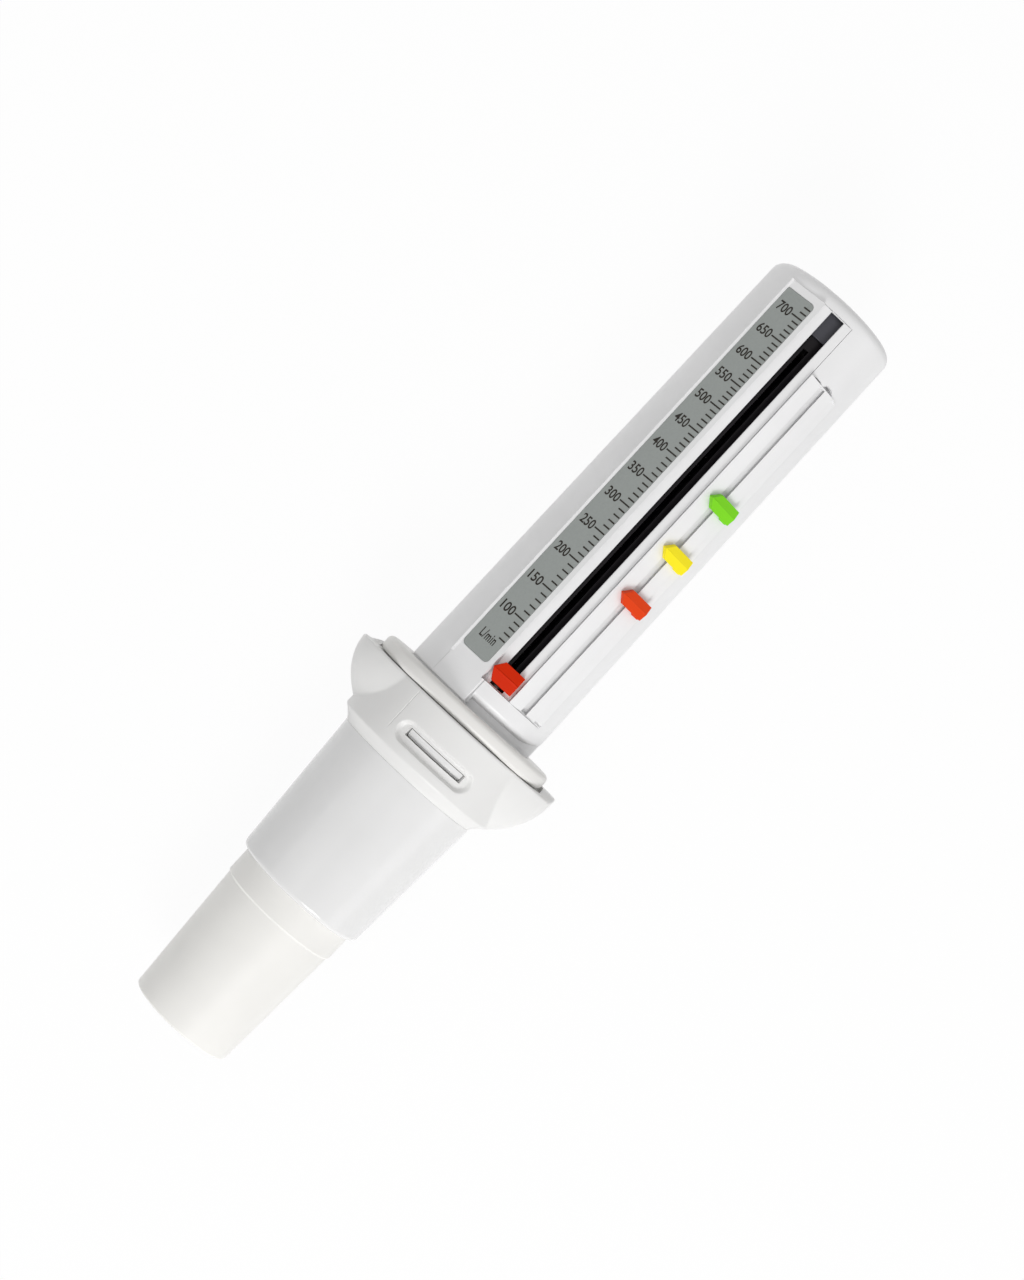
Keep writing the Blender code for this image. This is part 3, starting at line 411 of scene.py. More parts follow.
def guard_radius(station, turn):
    """The guard's outside: the larger of a flared collar and an elliptical bowl, less the recess, the mould
    line, the rounded rim, and whatever lies under the flat back."""
    climb = np.clip((station - GUARD_START) / FLARE_LENGTH, 0.0, 2.0)
    flare = GUARD_FOOT_RADIUS + (GUARD_RADIUS - GUARD_FOOT_RADIUS) * climb ** FLARE_POWER
    collar = soft_min(flare, GUARD_RADIUS, 0.12)
    drop = np.clip((GUARD_RIM_STATION - station) / (LOBE_DROP + LOBE_DROP_SKEW * np.sin(turn)), 0.0, 1.0)
    oval = np.hypot(np.sin(turn) / LOBE_HALF_WIDTH, np.cos(turn) / LOBE_HALF_DEPTH)
    radius = soft_max(collar, np.sqrt(1.0 - drop ** 2) / oval, 0.06)
    across = GUARD_RADIUS * np.sin(turn)
    over_end = np.maximum(np.abs(across) - (RECESS_HALF_WIDTH - RECESS_HALF_LENGTH), 0.0)
    inside = RECESS_HALF_LENGTH - np.hypot(over_end, station - RECESS_MIDDLE)
    radius = radius - RECESS_DEPTH * smooth_step(inside / RECESS_SLOPE) * (np.cos(turn) > 0.0)
    off_line = np.abs(np.degrees(turn) - CREASE_TURN) / CREASE_HALF_ANGLE
    past_start = smooth_step((station - CREASE_START) / CREASE_FADE)
    radius = radius - CREASE_DEPTH * smooth_step(1.0 - off_line) * past_start
    past = np.clip((station - GUARD_RIM_STATION) / GUARD_RIM_ROUND + 1.0, 0.0, 1.0)
    radius = radius - GUARD_RIM_ROUND * (1.0 - np.sqrt(1.0 - past ** 2))
    return cut_flat(radius, -np.cos(turn), AXIS_HEIGHT, 0.06)


def rim_rise(turn):
    """How far the back of the rim stands above its front, at each turn: from the side on the right lobe,
    and only close to the ring on the left one."""
    degrees = np.degrees(turn)
    right = smooth_step((degrees - 80.0) / 8.0) * smooth_step((150.0 - degrees) / 20.0)
    left = smooth_step((-degrees - 100.0) / 12.0) * smooth_step((150.0 + degrees) / 20.0)
    return RIM_RISE * (right + left)


def merged(*parts):
    """The values of all parts in order, each once."""
    return np.unique(np.round(np.concatenate(parts), 4))


# The grid is finer round the recess and its slot, the crease, the lobes' roots and the flat's edges.
slot_turn = math.degrees(math.asin(GRIP_SLOT_HALF_WIDTH / (GUARD_RADIUS - RECESS_DEPTH)))
guard_turns = merged(
    np.arange(-180.0, 180.0, 2.0), np.arange(-33.0, 33.01, 0.6), CREASE_TURN + np.linspace(-0.8, 0.8, 9),
    [-slot_turn, slot_turn], np.arange(36.0, 72.0, 1.0), np.arange(-72.0, -35.0, 1.0),
    np.arange(150.0, 156.0, 0.5), np.arange(-156.0, -150.0, 0.5))
guard_stations = merged(
    np.arange(GUARD_START, 78.0, 0.25), np.arange(78.0, 90.4, 0.6), np.arange(79.4, 85.6, 0.2),
    GRIP_SLOT_MIDDLE + np.array([-1.0, 1.0]) * GRIP_SLOT_HALF_LENGTH,
    GUARD_RIM_STATION - GUARD_RIM_ROUND * (1.0 - np.sin(np.linspace(0.0, np.pi / 2.0, 7))))
station, turn = np.meshgrid(guard_stations, np.radians(guard_turns), indexing="ij")
outside = guard_radius(station, turn)
rise = rim_rise(turn[:1])
lifted = station + rise * smooth_step((station - 88.0) / 3.0)
shelf = np.minimum(outside[-1:], RIM_RISE_RADIUS)
lifted = np.concatenate([lifted, lifted[-1:], station[-1:]])
outside = np.concatenate([outside, shelf, shelf])
station = np.concatenate([station, station[-1:], station[-1:]])
turn = np.concatenate([turn, turn[:2]])
slot_columns = np.abs(guard_turns + 0.1) < slot_turn
middles = (guard_stations[1:] + guard_stations[:-1]) / 2.0
slot_rows = np.append(np.abs(middles - GRIP_SLOT_MIDDLE) < GRIP_SLOT_HALF_LENGTH, [False, False])
guard_plastic = moulded_plastic("guard_satin_plastic", GUARD_COLOUR, 0.42, grain=0.25, grain_size=0.2)
guard = walled("hand_guard_shell", about_axis(lifted, outside, turn), about_axis(station, GUARD_BORE, turn),
               guard_plastic, ~(slot_rows[:, None] & slot_columns[None]))
fitted(guard, "housing", "hand_guard")


# Snap catch: the boss on the barrel's spigot that clicks into the guard's slot and holds the two together.
CATCH_START, CATCH_END = 81.52, 83.36
CATCH_ROOT, CATCH_TOP = 16.3, 19.25
CATCH_RAMP_END, CATCH_NOSE_DROP, CATCH_RAMP_DROP = 82.1, 0.75, 0.12
CATCH_HALF_WIDTH = 7.45


def stacked(name, outlines, material, capped=True):
    """A skin over a stack of matching closed outlines. Capped, its ends close to their middles; otherwise
    the last outline joins the first, which leaves a hole through the piece."""
    rings = np.stack(outlines)
    if capped:
        ends = np.repeat(rings.mean(axis=1, keepdims=True), rings.shape[1], axis=1)
        rings = np.concatenate([ends[:1], rings, ends[-1:]])
    return solid(name, rings, grid_quads(len(rings), rings.shape[1], close_rows=not capped), material)


catch_outline = rounded([(CATCH_START, CATCH_ROOT), (CATCH_START, CATCH_TOP - CATCH_NOSE_DROP),
                         (CATCH_RAMP_END, CATCH_TOP - CATCH_RAMP_DROP), (CATCH_END, CATCH_TOP),
                         (CATCH_END, CATCH_ROOT)], [0.1, 0.15, 0.3, 0.12, 0.1], 4)
catch_turns = np.linspace(-1.0, 1.0, 25) * math.asin(CATCH_HALF_WIDTH / CATCH_TOP)
guard_catch = stacked("guard_catch", [about_axis(catch_outline[:, 0], catch_outline[:, 1], turn)
                                      for turn in catch_turns], barrel_plastic)
fitted(guard_catch, "housing")


# Locking ring: the oval ring with a full round edge that holds the body to the guard. Satin moulding,
# snapped over the body's neck; its back is flat, level with the guard's.
RING_START, RING_END = 91.15, 94.9
RING_HALF_WIDTH = 23.8
RING_HALF_DEPTH = 20.0
RING_BORE = 17.2
RING_ROUND = 1.3
RING_COLOUR = (0.765, 0.757, 0.735)


def rimmed(name, start, end, bore, rim, edge, material, turns, corner=0.15):
    """A ring whose rim isn't a circle: a rounded section carried round the axis. Its inner side lies on the
    bore, and its outer side on the rim, which is a radius for each turn."""
    tall = 10.0
    outline = rounded([(start, 0.0), (start, tall), (end, tall), (end, 0.0)], [corner, edge, edge, corner])
    outer = outline[:, 1:] > tall / 2.0
    radius = np.where(outer, rim[None] - tall + outline[:, 1:], bore + outline[:, 1:])
    points = about_axis(outline[:, :1], radius, turns[None])
    return solid(name, points, grid_quads(len(outline), len(turns), close_rows=True), material)


ring_turns = np.radians(merged(np.arange(-180.0, 180.0, 2.0), np.arange(154.0, 162.0, 0.5),
                               np.arange(-162.0, -154.0, 0.5)))
oval_rim = 1.0 / np.hypot(np.sin(ring_turns) / RING_HALF_WIDTH, np.cos(ring_turns) / RING_HALF_DEPTH)
ring_plastic = moulded_plastic("ring_satin_plastic", RING_COLOUR, 0.4, grain=0.2, grain_size=0.2)
locking_ring = rimmed("locking_ring_shell", RING_START, RING_END, RING_BORE,
                      cut_flat(oval_rim, -np.cos(ring_turns), AXIS_HEIGHT, 0.04), RING_ROUND, ring_plastic,
                      ring_turns)
fitted(locking_ring, "housing", "locking_ring")


# Body shell: the long closed tube of white plastic with a domed end. It is moulded with the pockets of
# the two panel inserts, the pointer's channel and slot, and the finger cove below the tracks.
BODY_START, BODY_END = 95.2, 214.6
BODY_BASE_RADIUS = 17.4
BODY_TOP_RADIUS = 16.7
BODY_BORE = 14.6
NECK_RADIUS = 16.9
SOCKET_BORE = 13.4
NECK_START, NECK_BORE_END = 84.0, 100.0
NECK_TIP_RADII = (13.9, 14.4)
NECK_STEP, NECK_SHOULDER = 91.25, 94.6
BODY_EDGE_ROUND = 0.35
END_ROUND = 2.6
END_CROWN = 0.12
PANEL_START, PANEL_END = 101.6, 210.95
STRIP_START = 95.5
MARKER_PANEL_END = 197.8
FACET_TURN = math.radians(32.0)
POCKET_HEIGHT = 15.4
SCALE_LEFT = 4.34
SCALE_RIGHT = 6.5
MARKER_RIGHT_EDGE = 5.5
CHANNEL_HALF_WIDTH = 4.05
CHANNEL_BED = 15.2
FOOT_SLOT_HALF_WIDTH = 3.25
COVE_START, COVE_ROLL, COVE_RISE = 98.7, 1.8, 1.8
COVE_DEPTH, COVE_SIDE_DEPTH = 2.4, 0.2
SIDE_TURN, SIDE_BLEND = 52.0, 32.0
BACK_TURN, BACK_BLEND = 150.0, 50.0
LATCH_END, LATCH_MIDDLE, LATCH_HALF_WIDTH = 198.8, 0.65, 1.4
NOTCH_END, NOTCH_MIDDLE, NOTCH_HALF_WIDTH = 198.2, -3.1, 0.9
PIT_DEPTH = 1.6
INSIDE_END = 211.9
HAIR_TURN = 0.01
SPLITS = [50, 1, 10, 2, 3, 12, 1, 2, 28, 2, 50]
BODY_COLOUR = (0.82, 0.82, 0.825)
dome_start = BODY_END - END_ROUND - END_CROWN


def polar(across, height, turn=0.0):
    """Turn and radius of a point given across and above a facet that is turned about the axis."""
    return turn + math.atan2(across, height), math.hypot(across, height)


def surface_turn(across, radius, turn=0.0):
    """Turn at which a surface of that radius is met by a plane at a distance across from a facet's middle."""
    return turn + np.arcsin(across / radius)


def body_rows(stations, base, zone):
    """Corner turns and radii of the shell's outside at each station, from the back round by the left to the
    back. Next to the tracks they are the wall and floor of the scale pocket, the channel's bed and slot, and
    the wall and floor of the marker pocket. In the other zones the missing ones lie on the round surface."""
    one = np.ones_like(stations)
    left_top = surface_turn(-SCALE_LEFT, base, -FACET_TURN)
    right_top = surface_turn(MARKER_RIGHT_EDGE, base, FACET_TURN)
    left_floor = polar(-SCALE_LEFT, POCKET_HEIGHT, -FACET_TURN)
    right_floor = polar(MARKER_RIGHT_EDGE, POCKET_HEIGHT, FACET_TURN)
    bed_side = polar(CHANNEL_HALF_WIDTH, CHANNEL_BED)
    bed_slot = polar(FOOT_SLOT_HALF_WIDTH, CHANNEL_BED)
    strip_floor = polar(SCALE_RIGHT, POCKET_HEIGHT, -FACET_TURN)
    strip_top = surface_turn(SCALE_RIGHT, base, -FACET_TURN)
    channel_top = surface_turn(CHANNEL_HALF_WIDTH, base)
    if zone in ("plain", "strip"):
        turns = [left_top, left_top + HAIR_TURN, strip_top - HAIR_TURN, strip_top, -0.1, 0.1, 0.22, 0.243,
                 right_top - HAIR_TURN, right_top]
        radii = [base] * len(turns)
        if zone == "strip":
            turns[1:3] = left_floor[0], strip_floor[0]
            radii[1:3] = left_floor[1], strip_floor[1]
    else:
        turns = [left_top, left_floor[0], -bed_side[0], -bed_slot[0] - 0.004, -bed_slot[0], bed_slot[0],
                 bed_side[0]]
        radii = [base, left_floor[1], bed_side[1], bed_slot[1], bed_slot[1], bed_slot[1], bed_side[1]]
        if zone == "tracks":
            turns += [bed_side[0], right_floor[0], right_top]
            radii += [bed_side[1], right_floor[1], base]
        else:
            turns += [channel_top, right_top - HAIR_TURN, right_top]
            radii += [base, base, base]
    turns = [-np.pi] + turns + [np.pi]
    radii = [base] + radii + [base]
    return np.stack([t * one for t in turns], 1), np.stack([r * one for r in radii], 1)


straight = [
    ("plain", BODY_START + BODY_EDGE_ROUND, STRIP_START, 1),
    ("strip", STRIP_START, PANEL_START, 30),
    ("tracks", PANEL_START, MARKER_PANEL_END, 12),
    ("scale", MARKER_PANEL_END, LATCH_END, 5),
    ("scale", LATCH_END, PANEL_END, 2),
    ("plain", PANEL_END, dome_start, 1),
]
neck_stations = np.repeat([NECK_START, NECK_STEP, NECK_SHOULDER, BODY_START], [2, 2, 2, 1])
neck_radii = np.array([*NECK_TIP_RADII, NECK_TIP_RADII[1]] + [NECK_RADIUS] * 4)
corner = np.linspace(0.0, np.pi / 2.0, 5)[:-1]
lead_stations = np.concatenate([neck_stations, BODY_START + BODY_EDGE_ROUND * (1.0 - np.cos(corner))])
lead_radii = np.concatenate([neck_radii, BODY_BASE_RADIUS - BODY_EDGE_ROUND * (1.0 - np.sin(corner))])
tip = np.linspace(0.0, np.pi / 2.0, 9)[1:]
crown = np.linspace(1.0, 0.0, 9)[1:]
tail_stations = np.concatenate([dome_start + END_ROUND * np.sin(tip), BODY_END - END_CROWN * crown ** 2])
tail_radii = np.concatenate([BODY_TOP_RADIUS - END_ROUND * (1.0 - np.cos(tip)),
                             (BODY_TOP_RADIUS - END_ROUND) * crown])
row_stations, row_turns, row_radii, row_zones = [], [], [], []
blocks = [("plain", lead_stations, lead_radii)]
for zone, start, end, count in straight:
    stations = np.linspace(start, end, count + 1)
    base = np.interp(stations, [BODY_START, dome_start], [BODY_BASE_RADIUS, BODY_TOP_RADIUS])
    blocks.append((zone, stations, base))
blocks.append(("plain", tail_stations, tail_radii))
for zone, stations, base in blocks:
    # The turns of the corners are worked out on a surface that stays outside the pockets' floors, so that
    # they keep their order where the closed end draws in.
    safe = np.maximum(base, 16.0)
    turns, radii = body_rows(stations, safe, zone)
    row_stations.append(stations)
    row_turns.append(turns)
    row_radii.append(np.where(radii == safe[:, None], base[:, None], radii))
    row_zones += [zone] * len(stations)
row_stations = np.concatenate(row_stations)
row_turns, row_radii = np.concatenate(row_turns), np.concatenate(row_radii)
zones = np.array(row_zones)
# Each side between two corners is split into its own number of columns.
place_in = np.concatenate([i + np.arange(n) / n for i, n in enumerate(SPLITS)])
first = place_in.astype(int)
part = (place_in - first)[None]
shell_turns = row_turns[:, first] * (1.0 - part) + row_turns[:, first + 1] * part
shell_radii = row_radii[:, first] * (1.0 - part) + row_radii[:, first + 1] * part
# The finger cove rolls down towards the ring, deepest at the front, and runs out towards the back.
to_side = smooth_step((np.degrees(shell_turns) - SIDE_TURN) / SIDE_BLEND)
to_back = smooth_step((BACK_TURN - np.degrees(shell_turns)) / BACK_BLEND)
roll = np.clip((COVE_START + COVE_RISE * to_side - row_stations[:, None]) / COVE_ROLL, 0.0, 1.0)
depth = (COVE_DEPTH + (COVE_SIDE_DEPTH - COVE_DEPTH) * to_side) * to_back
cove = BODY_BASE_RADIUS - depth * (1.0 - np.sqrt(1.0 - roll ** 2))
cove_rows = (row_stations > BODY_START - 0.7) & (row_stations <= PANEL_START + 1e-6) & (zones != "tracks")
in_cove = (shell_turns > row_turns[:, 3:4] + 1e-4) & cove_rows[:, None]
shell_radii = np.where(in_cove, np.minimum(shell_radii, cove), shell_radii)
# Two small pits past the marker track's end take the insert's latches: half ovals across its facet.
off_middle = shell_turns - FACET_TURN
across_rail = np.where(np.cos(off_middle) > 0.0, shell_radii * np.sin(off_middle), OUT_OF_REACH)
past_rail = np.where(zones == "scale", row_stations - MARKER_PANEL_END, OUT_OF_REACH)[:, None]
for end, middle, half_width in [(LATCH_END, LATCH_MIDDLE, LATCH_HALF_WIDTH),
                                (NOTCH_END, NOTCH_MIDDLE, NOTCH_HALF_WIDTH)]:
    reach = past_rail / (end - MARKER_PANEL_END - 0.05)
    sunk = np.hypot(reach, (across_rail - middle) / half_width) < 1.0
    shell_radii = shell_radii - PIT_DEPTH * sunk
inner_stations = np.minimum(row_stations, INSIDE_END)
inner_radii = np.where(row_stations < NECK_BORE_END, SOCKET_BORE, BODY_BORE)
past_dome = row_stations > dome_start + 0.01
inner_radii[past_dome] *= np.linspace(1.0, 0.0, past_dome.sum())
slotted = np.isin(zones[1:], ["tracks", "scale"]) & np.isin(zones[:-1], ["tracks", "scale"])
slot_cells = (place_in >= 5.0) & (place_in < 6.0)
body_plastic = moulded_plastic("body_satin_plastic", BODY_COLOUR, 0.38, grain=0.12, grain_size=0.22)
body = walled("body_tube", about_axis(row_stations[:, None], shell_radii, shell_turns),
              about_axis(inner_stations[:, None], inner_radii[:, None] + 0.0 * shell_turns, shell_turns),
              body_plastic, ~(slotted[:, None] & slot_cells[None]), closed_end=True)
fitted(body, "housing", "body_shell")


# Rest pad: the low foot moulded on the body's back near the closed end, level with the guard's back.
PAD_START, PAD_END = 195.0, 208.0
PAD_HALF_WIDTH = 6.0
PAD_CORNER = 3.0
PAD_EDGE = 0.4
PAD_ROOT = 15.6


def on_facet(station, across, height, turn=0.0):
    """Points of a facet turned about the tube's axis: y is minus (height times sine plus across times
    cosine), and z is the axis height plus height times cosine less across times sine."""
    spread = np.broadcast_arrays(station - HALF_LENGTH, -(height * np.sin(turn) + across * np.cos(turn)),
                                 AXIS_HEIGHT + height * np.cos(turn) - across * np.sin(turn))
    return np.stack(spread, -1)


def plan(start, end, left, right, corner, inset, steps):
    """A rectangular outline of stations and offsets across, with round corners, drawn in by an inset."""
    return rounded([(start + inset, left + inset), (end - inset, left + inset), (end - inset, right - inset),
                    (start + inset, right - inset)], np.maximum(corner - inset, 0.0), steps)


def soft_edge(round_by, top, steps=4):
    """Insets and heights of the steps of a rounded edge, from the side wall up to the top."""
    sweep = np.linspace(0.0, np.pi / 2.0, steps + 1)
    return list(zip(round_by * (1.0 - np.cos(sweep)), top - round_by * (1.0 - np.sin(sweep))))


def slab(box, corner, levels, turn=0.0, steps=3):
    """Outlines of a slab on a facet: the plan of a box (start, end, left, right), drawn in by an inset, at
    each inset and height of the levels."""
    return [on_facet(*plan(*box, corner, inset, steps).T, height, turn) for inset, height in levels]


pad_levels = [(inset, -height) for inset, height in [(0.0, PAD_ROOT)] + soft_edge(PAD_EDGE, AXIS_HEIGHT)]
rest_pad = stacked("rest_pad", slab((PAD_START, PAD_END, -PAD_HALF_WIDTH, PAD_HALF_WIDTH), PAD_CORNER,
                                    pad_levels, steps=6), body_plastic)
fitted(rest_pad, "housing")


# Scale plate: the flat strip of white plastic that carries the scale, left of the channel. It is snapped
# into the shell from outside, runs from the ring to the domed end, and has a recess for its label.
PLATE_START, PLATE_END = 95.3, 210.9
PLATE_BASE = 15.7
PLATE_TOP = 16.9
PLATE_LEFT = -4.3
STRIP_RIGHT = 6.35
PLATE_EDGE = 0.12
LABEL_START, LABEL_END = 104.35, 208.95
LABEL_LEFT, LABEL_RIGHT = -3.7, 4.4
LABEL_CORNER = 1.2
LABEL_TOP_CORNER = 0.3
LABEL_GAP = 0.07
LABEL_RECESS = 0.35
LIP_ROOT, LIP_TOP, LIP_RIGHT = 16.7, 17.42, -3.76
LIP_CREST_RIGHT, LIP_FOOT = -4.12, 16.94
PANEL_COLOUR = (0.84, 0.84, 0.845)


def channel_wall(height):
    """How far across a facet the channel's upright wall stands at a height, from the marker side."""
    return (CHANNEL_HALF_WIDTH - height * math.sin(FACET_TURN)) / math.cos(FACET_TURN)


def plate_outline(height, inset=0.0):
    """The plate's outline at a height above the axis: its right side follows the channel's upright wall
    past the panel's start, and stands further out on the strip below it."""
    wall = -channel_wall(height) - inset
    left, strip = PLATE_LEFT + inset, STRIP_RIGHT - inset
    start, end, step = PLATE_START + inset, PLATE_END - inset, PANEL_START - inset
    return rounded([(start, left), (end, left), (end, wall), (step, wall), (step, strip), (start, strip)],
                   [0.02, 0.3, 0.02, 0.02, 0.02, 0.02], 4)


plate_rings = [on_facet(*plate_outline(height, inset).T, height, -FACET_TURN)
               for inset, height in [(0.0, PLATE_BASE)] + soft_edge(PLATE_EDGE, PLATE_TOP)]
# An outline between the edge and the label's recess keeps the top free of folds.
between = rounded([(96.5, -4.0), (209.8, -4.0), (209.8, 5.0), (101.5, 5.0), (101.0, 5.0), (96.5, 5.0)],
                  0.02, 4)
low, high = LABEL_START - LABEL_GAP, LABEL_END + LABEL_GAP
left, right = LABEL_LEFT - LABEL_GAP, LABEL_RIGHT + LABEL_GAP
pocket = rounded([(low, left), (high, left), (high, right), (low, right), (low, 2.0), (low, 0.0)],
                 [LABEL_CORNER, LABEL_TOP_CORNER, LABEL_CORNER, LABEL_CORNER, 0.0, 0.0], 4)
plate_rings.append(on_facet(*between.T, PLATE_TOP, -FACET_TURN))
plate_rings.append(on_facet(*pocket.T, PLATE_TOP, -FACET_TURN))
plate_rings.append(on_facet(*pocket.T, PLATE_TOP - LABEL_RECESS, -FACET_TURN))
panel_plastic = moulded_plastic("panel_satin_plastic", PANEL_COLOUR, 0.34, grain=0.1, grain_size=0.2)
scale_plate = stacked("scale_plate_strip", plate_rings, panel_plastic)
fitted(scale_plate, "housing", "scale_plate")
lip_section = rounded([(PLATE_LEFT, LIP_ROOT), (PLATE_LEFT, LIP_TOP), (LIP_CREST_RIGHT, LIP_TOP),
                       (LIP_RIGHT, LIP_FOOT), (LIP_RIGHT, LIP_ROOT)], [0.02, 0.05, 0.08, 0.1, 0.02], 3)
plate_lip = stacked("scale_plate_lip", [on_facet(station, *lip_section.T, -FACET_TURN)
                                        for station in (PANEL_START, PLATE_END)], panel_plastic)
fitted(plate_lip, "housing")


# Scale label: a grey-green printed film glued in the plate's recess. Numbers stand every 50 litres a
# minute and ticks every 10, closer together towards the far end.
LABEL_TOP = 16.92
LABEL_THICKNESS = 0.3
LABEL_COLOUR = (0.31, 0.332, 0.32)
INK_COLOUR = (0.03, 0.026, 0.022)
INK_THICKNESS = 0.02
INK_SPREAD = 0.017
SCALE_VALUES = [60, 100, 150, 200, 250, 300, 350, 400, 450, 500, 550, 600, 650, 700, 720]
SCALE_STATIONS = [110.4, 116.6, 125.4, 133.9, 142.0, 150.0, 157.4, 164.9, 171.9, 178.8, 185.3, 191.8, 198.3,
                  204.7, 207.4]
TICK_RIGHT = 4.28
LONG_TICK_LEFT, SHORT_TICK_LEFT = 1.22, 2.45
TICK_THICKNESS = 0.36
NUMBER_HEIGHT = 2.37
NUMBER_LEFT, NUMBER_RIGHT = -2.75, 0.92
UNIT_BASELINE, UNIT_TOP = 107.95, 110.3
UNIT_SPREAD = 0.014
UNIT_LEFT, UNIT_RIGHT = -1.85, 2.6


def printed_film(name, colour, shine=0.4):
    """Printed film: a faint mottle in the ink's coverage, under a satin lacquer with a slight ripple."""
    colour = np.array(colour)
    return finish(name, (colour * 0.965, colour * 1.035), (0.5, 4.0), (0.36, 0.46), (5.0, 3.0), (3.0, 2.0),
                  0.15, shine=shine)


def boxes(starts, ends, lefts, rights, low, high, turn):
    """Small blocks on a facet, one for each entry of the arrays: eight corners and six faces each."""
    pick = np.array([(0, 0, 0), (1, 0, 0), (1, 1, 0), (0, 1, 0), (0, 0, 1), (1, 0, 1), (1, 1, 1), (0, 1, 1)])
    station = np.where(pick[:, 0], ends[:, None], starts[:, None])
    across = np.where(pick[:, 1], rights[:, None], lefts[:, None])
    height = np.where(pick[:, 2], high, low) + 0.0 * station
    faces = np.array([(0, 3, 2, 1), (4, 5, 6, 7), (0, 1, 5, 4), (1, 2, 6, 5), (2, 3, 7, 6), (3, 0, 4, 7)])
    quads = (np.arange(len(starts))[:, None, None] * 8 + faces[None]).reshape(-1, 4)
    return on_facet(station, across, height, turn), quads


label_corners = np.array([LABEL_CORNER, LABEL_TOP_CORNER, LABEL_CORNER, LABEL_CORNER])
label_levels = [(0.0, LABEL_TOP - LABEL_THICKNESS)] + soft_edge(0.04, LABEL_TOP, 2)
label = stacked("scale_label_film", slab((LABEL_START, LABEL_END, LABEL_LEFT, LABEL_RIGHT), label_corners,
                                         label_levels, -FACET_TURN, 6),
                printed_film("label_grey_green_film", LABEL_COLOUR))
fitted(label, "housing", "scale_label")

ink = printed_film("label_ink", INK_COLOUR, 0.15)
tick_values = np.arange(60, 721, 10)
tick_stations = np.interp(tick_values, SCALE_VALUES, SCALE_STATIONS)
tick_lefts = np.where(tick_values % 50 == 0, LONG_TICK_LEFT, SHORT_TICK_LEFT)
tick_points, tick_quads = boxes(tick_stations - TICK_THICKNESS / 2.0, tick_stations + TICK_THICKNESS / 2.0,
                                tick_lefts, np.full(len(tick_values), TICK_RIGHT),
                                LABEL_TOP - INK_THICKNESS, LABEL_TOP + INK_THICKNESS, -FACET_TURN)
ticks = solid("scale_ticks", tick_points, tick_quads, ink)
fitted(ticks, "housing")


def printed_text(name, words, left, right, bottom, top, spread, spacing=1.0):
    """A word printed on the scale facet, made a mesh and fitted to a box: across from left to right, along
    from bottom to top."""
    curve = bpy.data.curves.new(name, "FONT")
    curve.body = words
    curve.space_character = spacing
    curve.extrude = 0.01
    curve.offset = spread
    curve.resolution_u = 6
    writing = bpy.data.objects.new(name + "_curve", curve)
    bpy.context.scene.collection.objects.link(writing)
    mesh = bpy.data.meshes.new_from_object(writing.evaluated_get(bpy.context.evaluated_depsgraph_get()))
    bpy.data.objects.remove(writing, do_unlink=True)
    flat = np.empty(len(mesh.vertices) * 3)
    mesh.vertices.foreach_get("co", flat)
    flat = flat.reshape(-1, 3)
    low, high = flat.min(0), flat.max(0)
    fit = (flat - low) / (high - low)
    height = LABEL_TOP + INK_THICKNESS * (2.0 * fit[:, 2] - 1.0)
    points = on_facet(bottom + (top - bottom) * fit[:, 1], left + (right - left) * fit[:, 0], height,
                      -FACET_TURN)
    mesh.vertices.foreach_set("co", (points * MM).ravel())
    closed_up(mesh)
    mesh.materials.clear()
    mesh.materials.append(ink)
    piece = bpy.data.objects.new(name, mesh)
    bpy.context.scene.collection.objects.link(piece)
    fitted(piece, "housing")


for value, place in zip(SCALE_VALUES, SCALE_STATIONS):
    if value % 50 == 0:
        printed_text(f"scale_number_{value}", str(value), NUMBER_LEFT, NUMBER_RIGHT,
                     place - NUMBER_HEIGHT / 2.0, place + NUMBER_HEIGHT / 2.0, INK_SPREAD)
printed_text("scale_unit", "L/min", UNIT_LEFT, UNIT_RIGHT, UNIT_BASELINE, UNIT_TOP, UNIT_SPREAD, 1.1)


# Pointer track: the floor of the channel, a white plate with the long slot that the pointer slides in.
TRACK_START, TRACK_END = 101.65, 210.9
TRACK_HALF_WIDTH = 3.98
TRACK_BASE, TRACK_TOP = 15.5, 16.2
POINTER_SLOT = (101.9, 210.72)
POINTER_SLOT_HALF_WIDTH = 1.82
track_edge = [(0.0, TRACK_BASE)] + soft_edge(0.08, TRACK_TOP, 2)
slot_edge = [(-inset, height) for inset, height in soft_edge(0.15, TRACK_TOP, 3)[::-1]] + [(0.0, TRACK_BASE)]
track_rings = slab((TRACK_START, TRACK_END, -TRACK_HALF_WIDTH, TRACK_HALF_WIDTH), 0.1, track_edge)
track_rings += slab((*POINTER_SLOT, -POINTER_SLOT_HALF_WIDTH, POINTER_SLOT_HALF_WIDTH), 0.1, slot_edge)
pointer_track = stacked("pointer_track_plate", track_rings, panel_plastic, capped=False)
fitted(pointer_track, "housing", "pointer_track")


# Marker track: the white insert right of the channel, with a rail between two grooves for the zone
# markers. The grooves stop at a thin web at each end, and the right one is open to the side.
MARKER_TRACK_START, MARKER_TRACK_END = 101.65, 197.78
WEB = 0.3
GROOVE_LEFT, RAIL_LEFT, RAIL_RIGHT = -1.8, 0.05, 3.1
GROOVE_FLOOR = 15.8
INSERT_BASE = 15.5
MARKER_TRACK_RIGHT = 5.51
RAIL_LIP, RAIL_UNDERCUT = 0.16, 1.7
PIT_LENGTH = 0.5


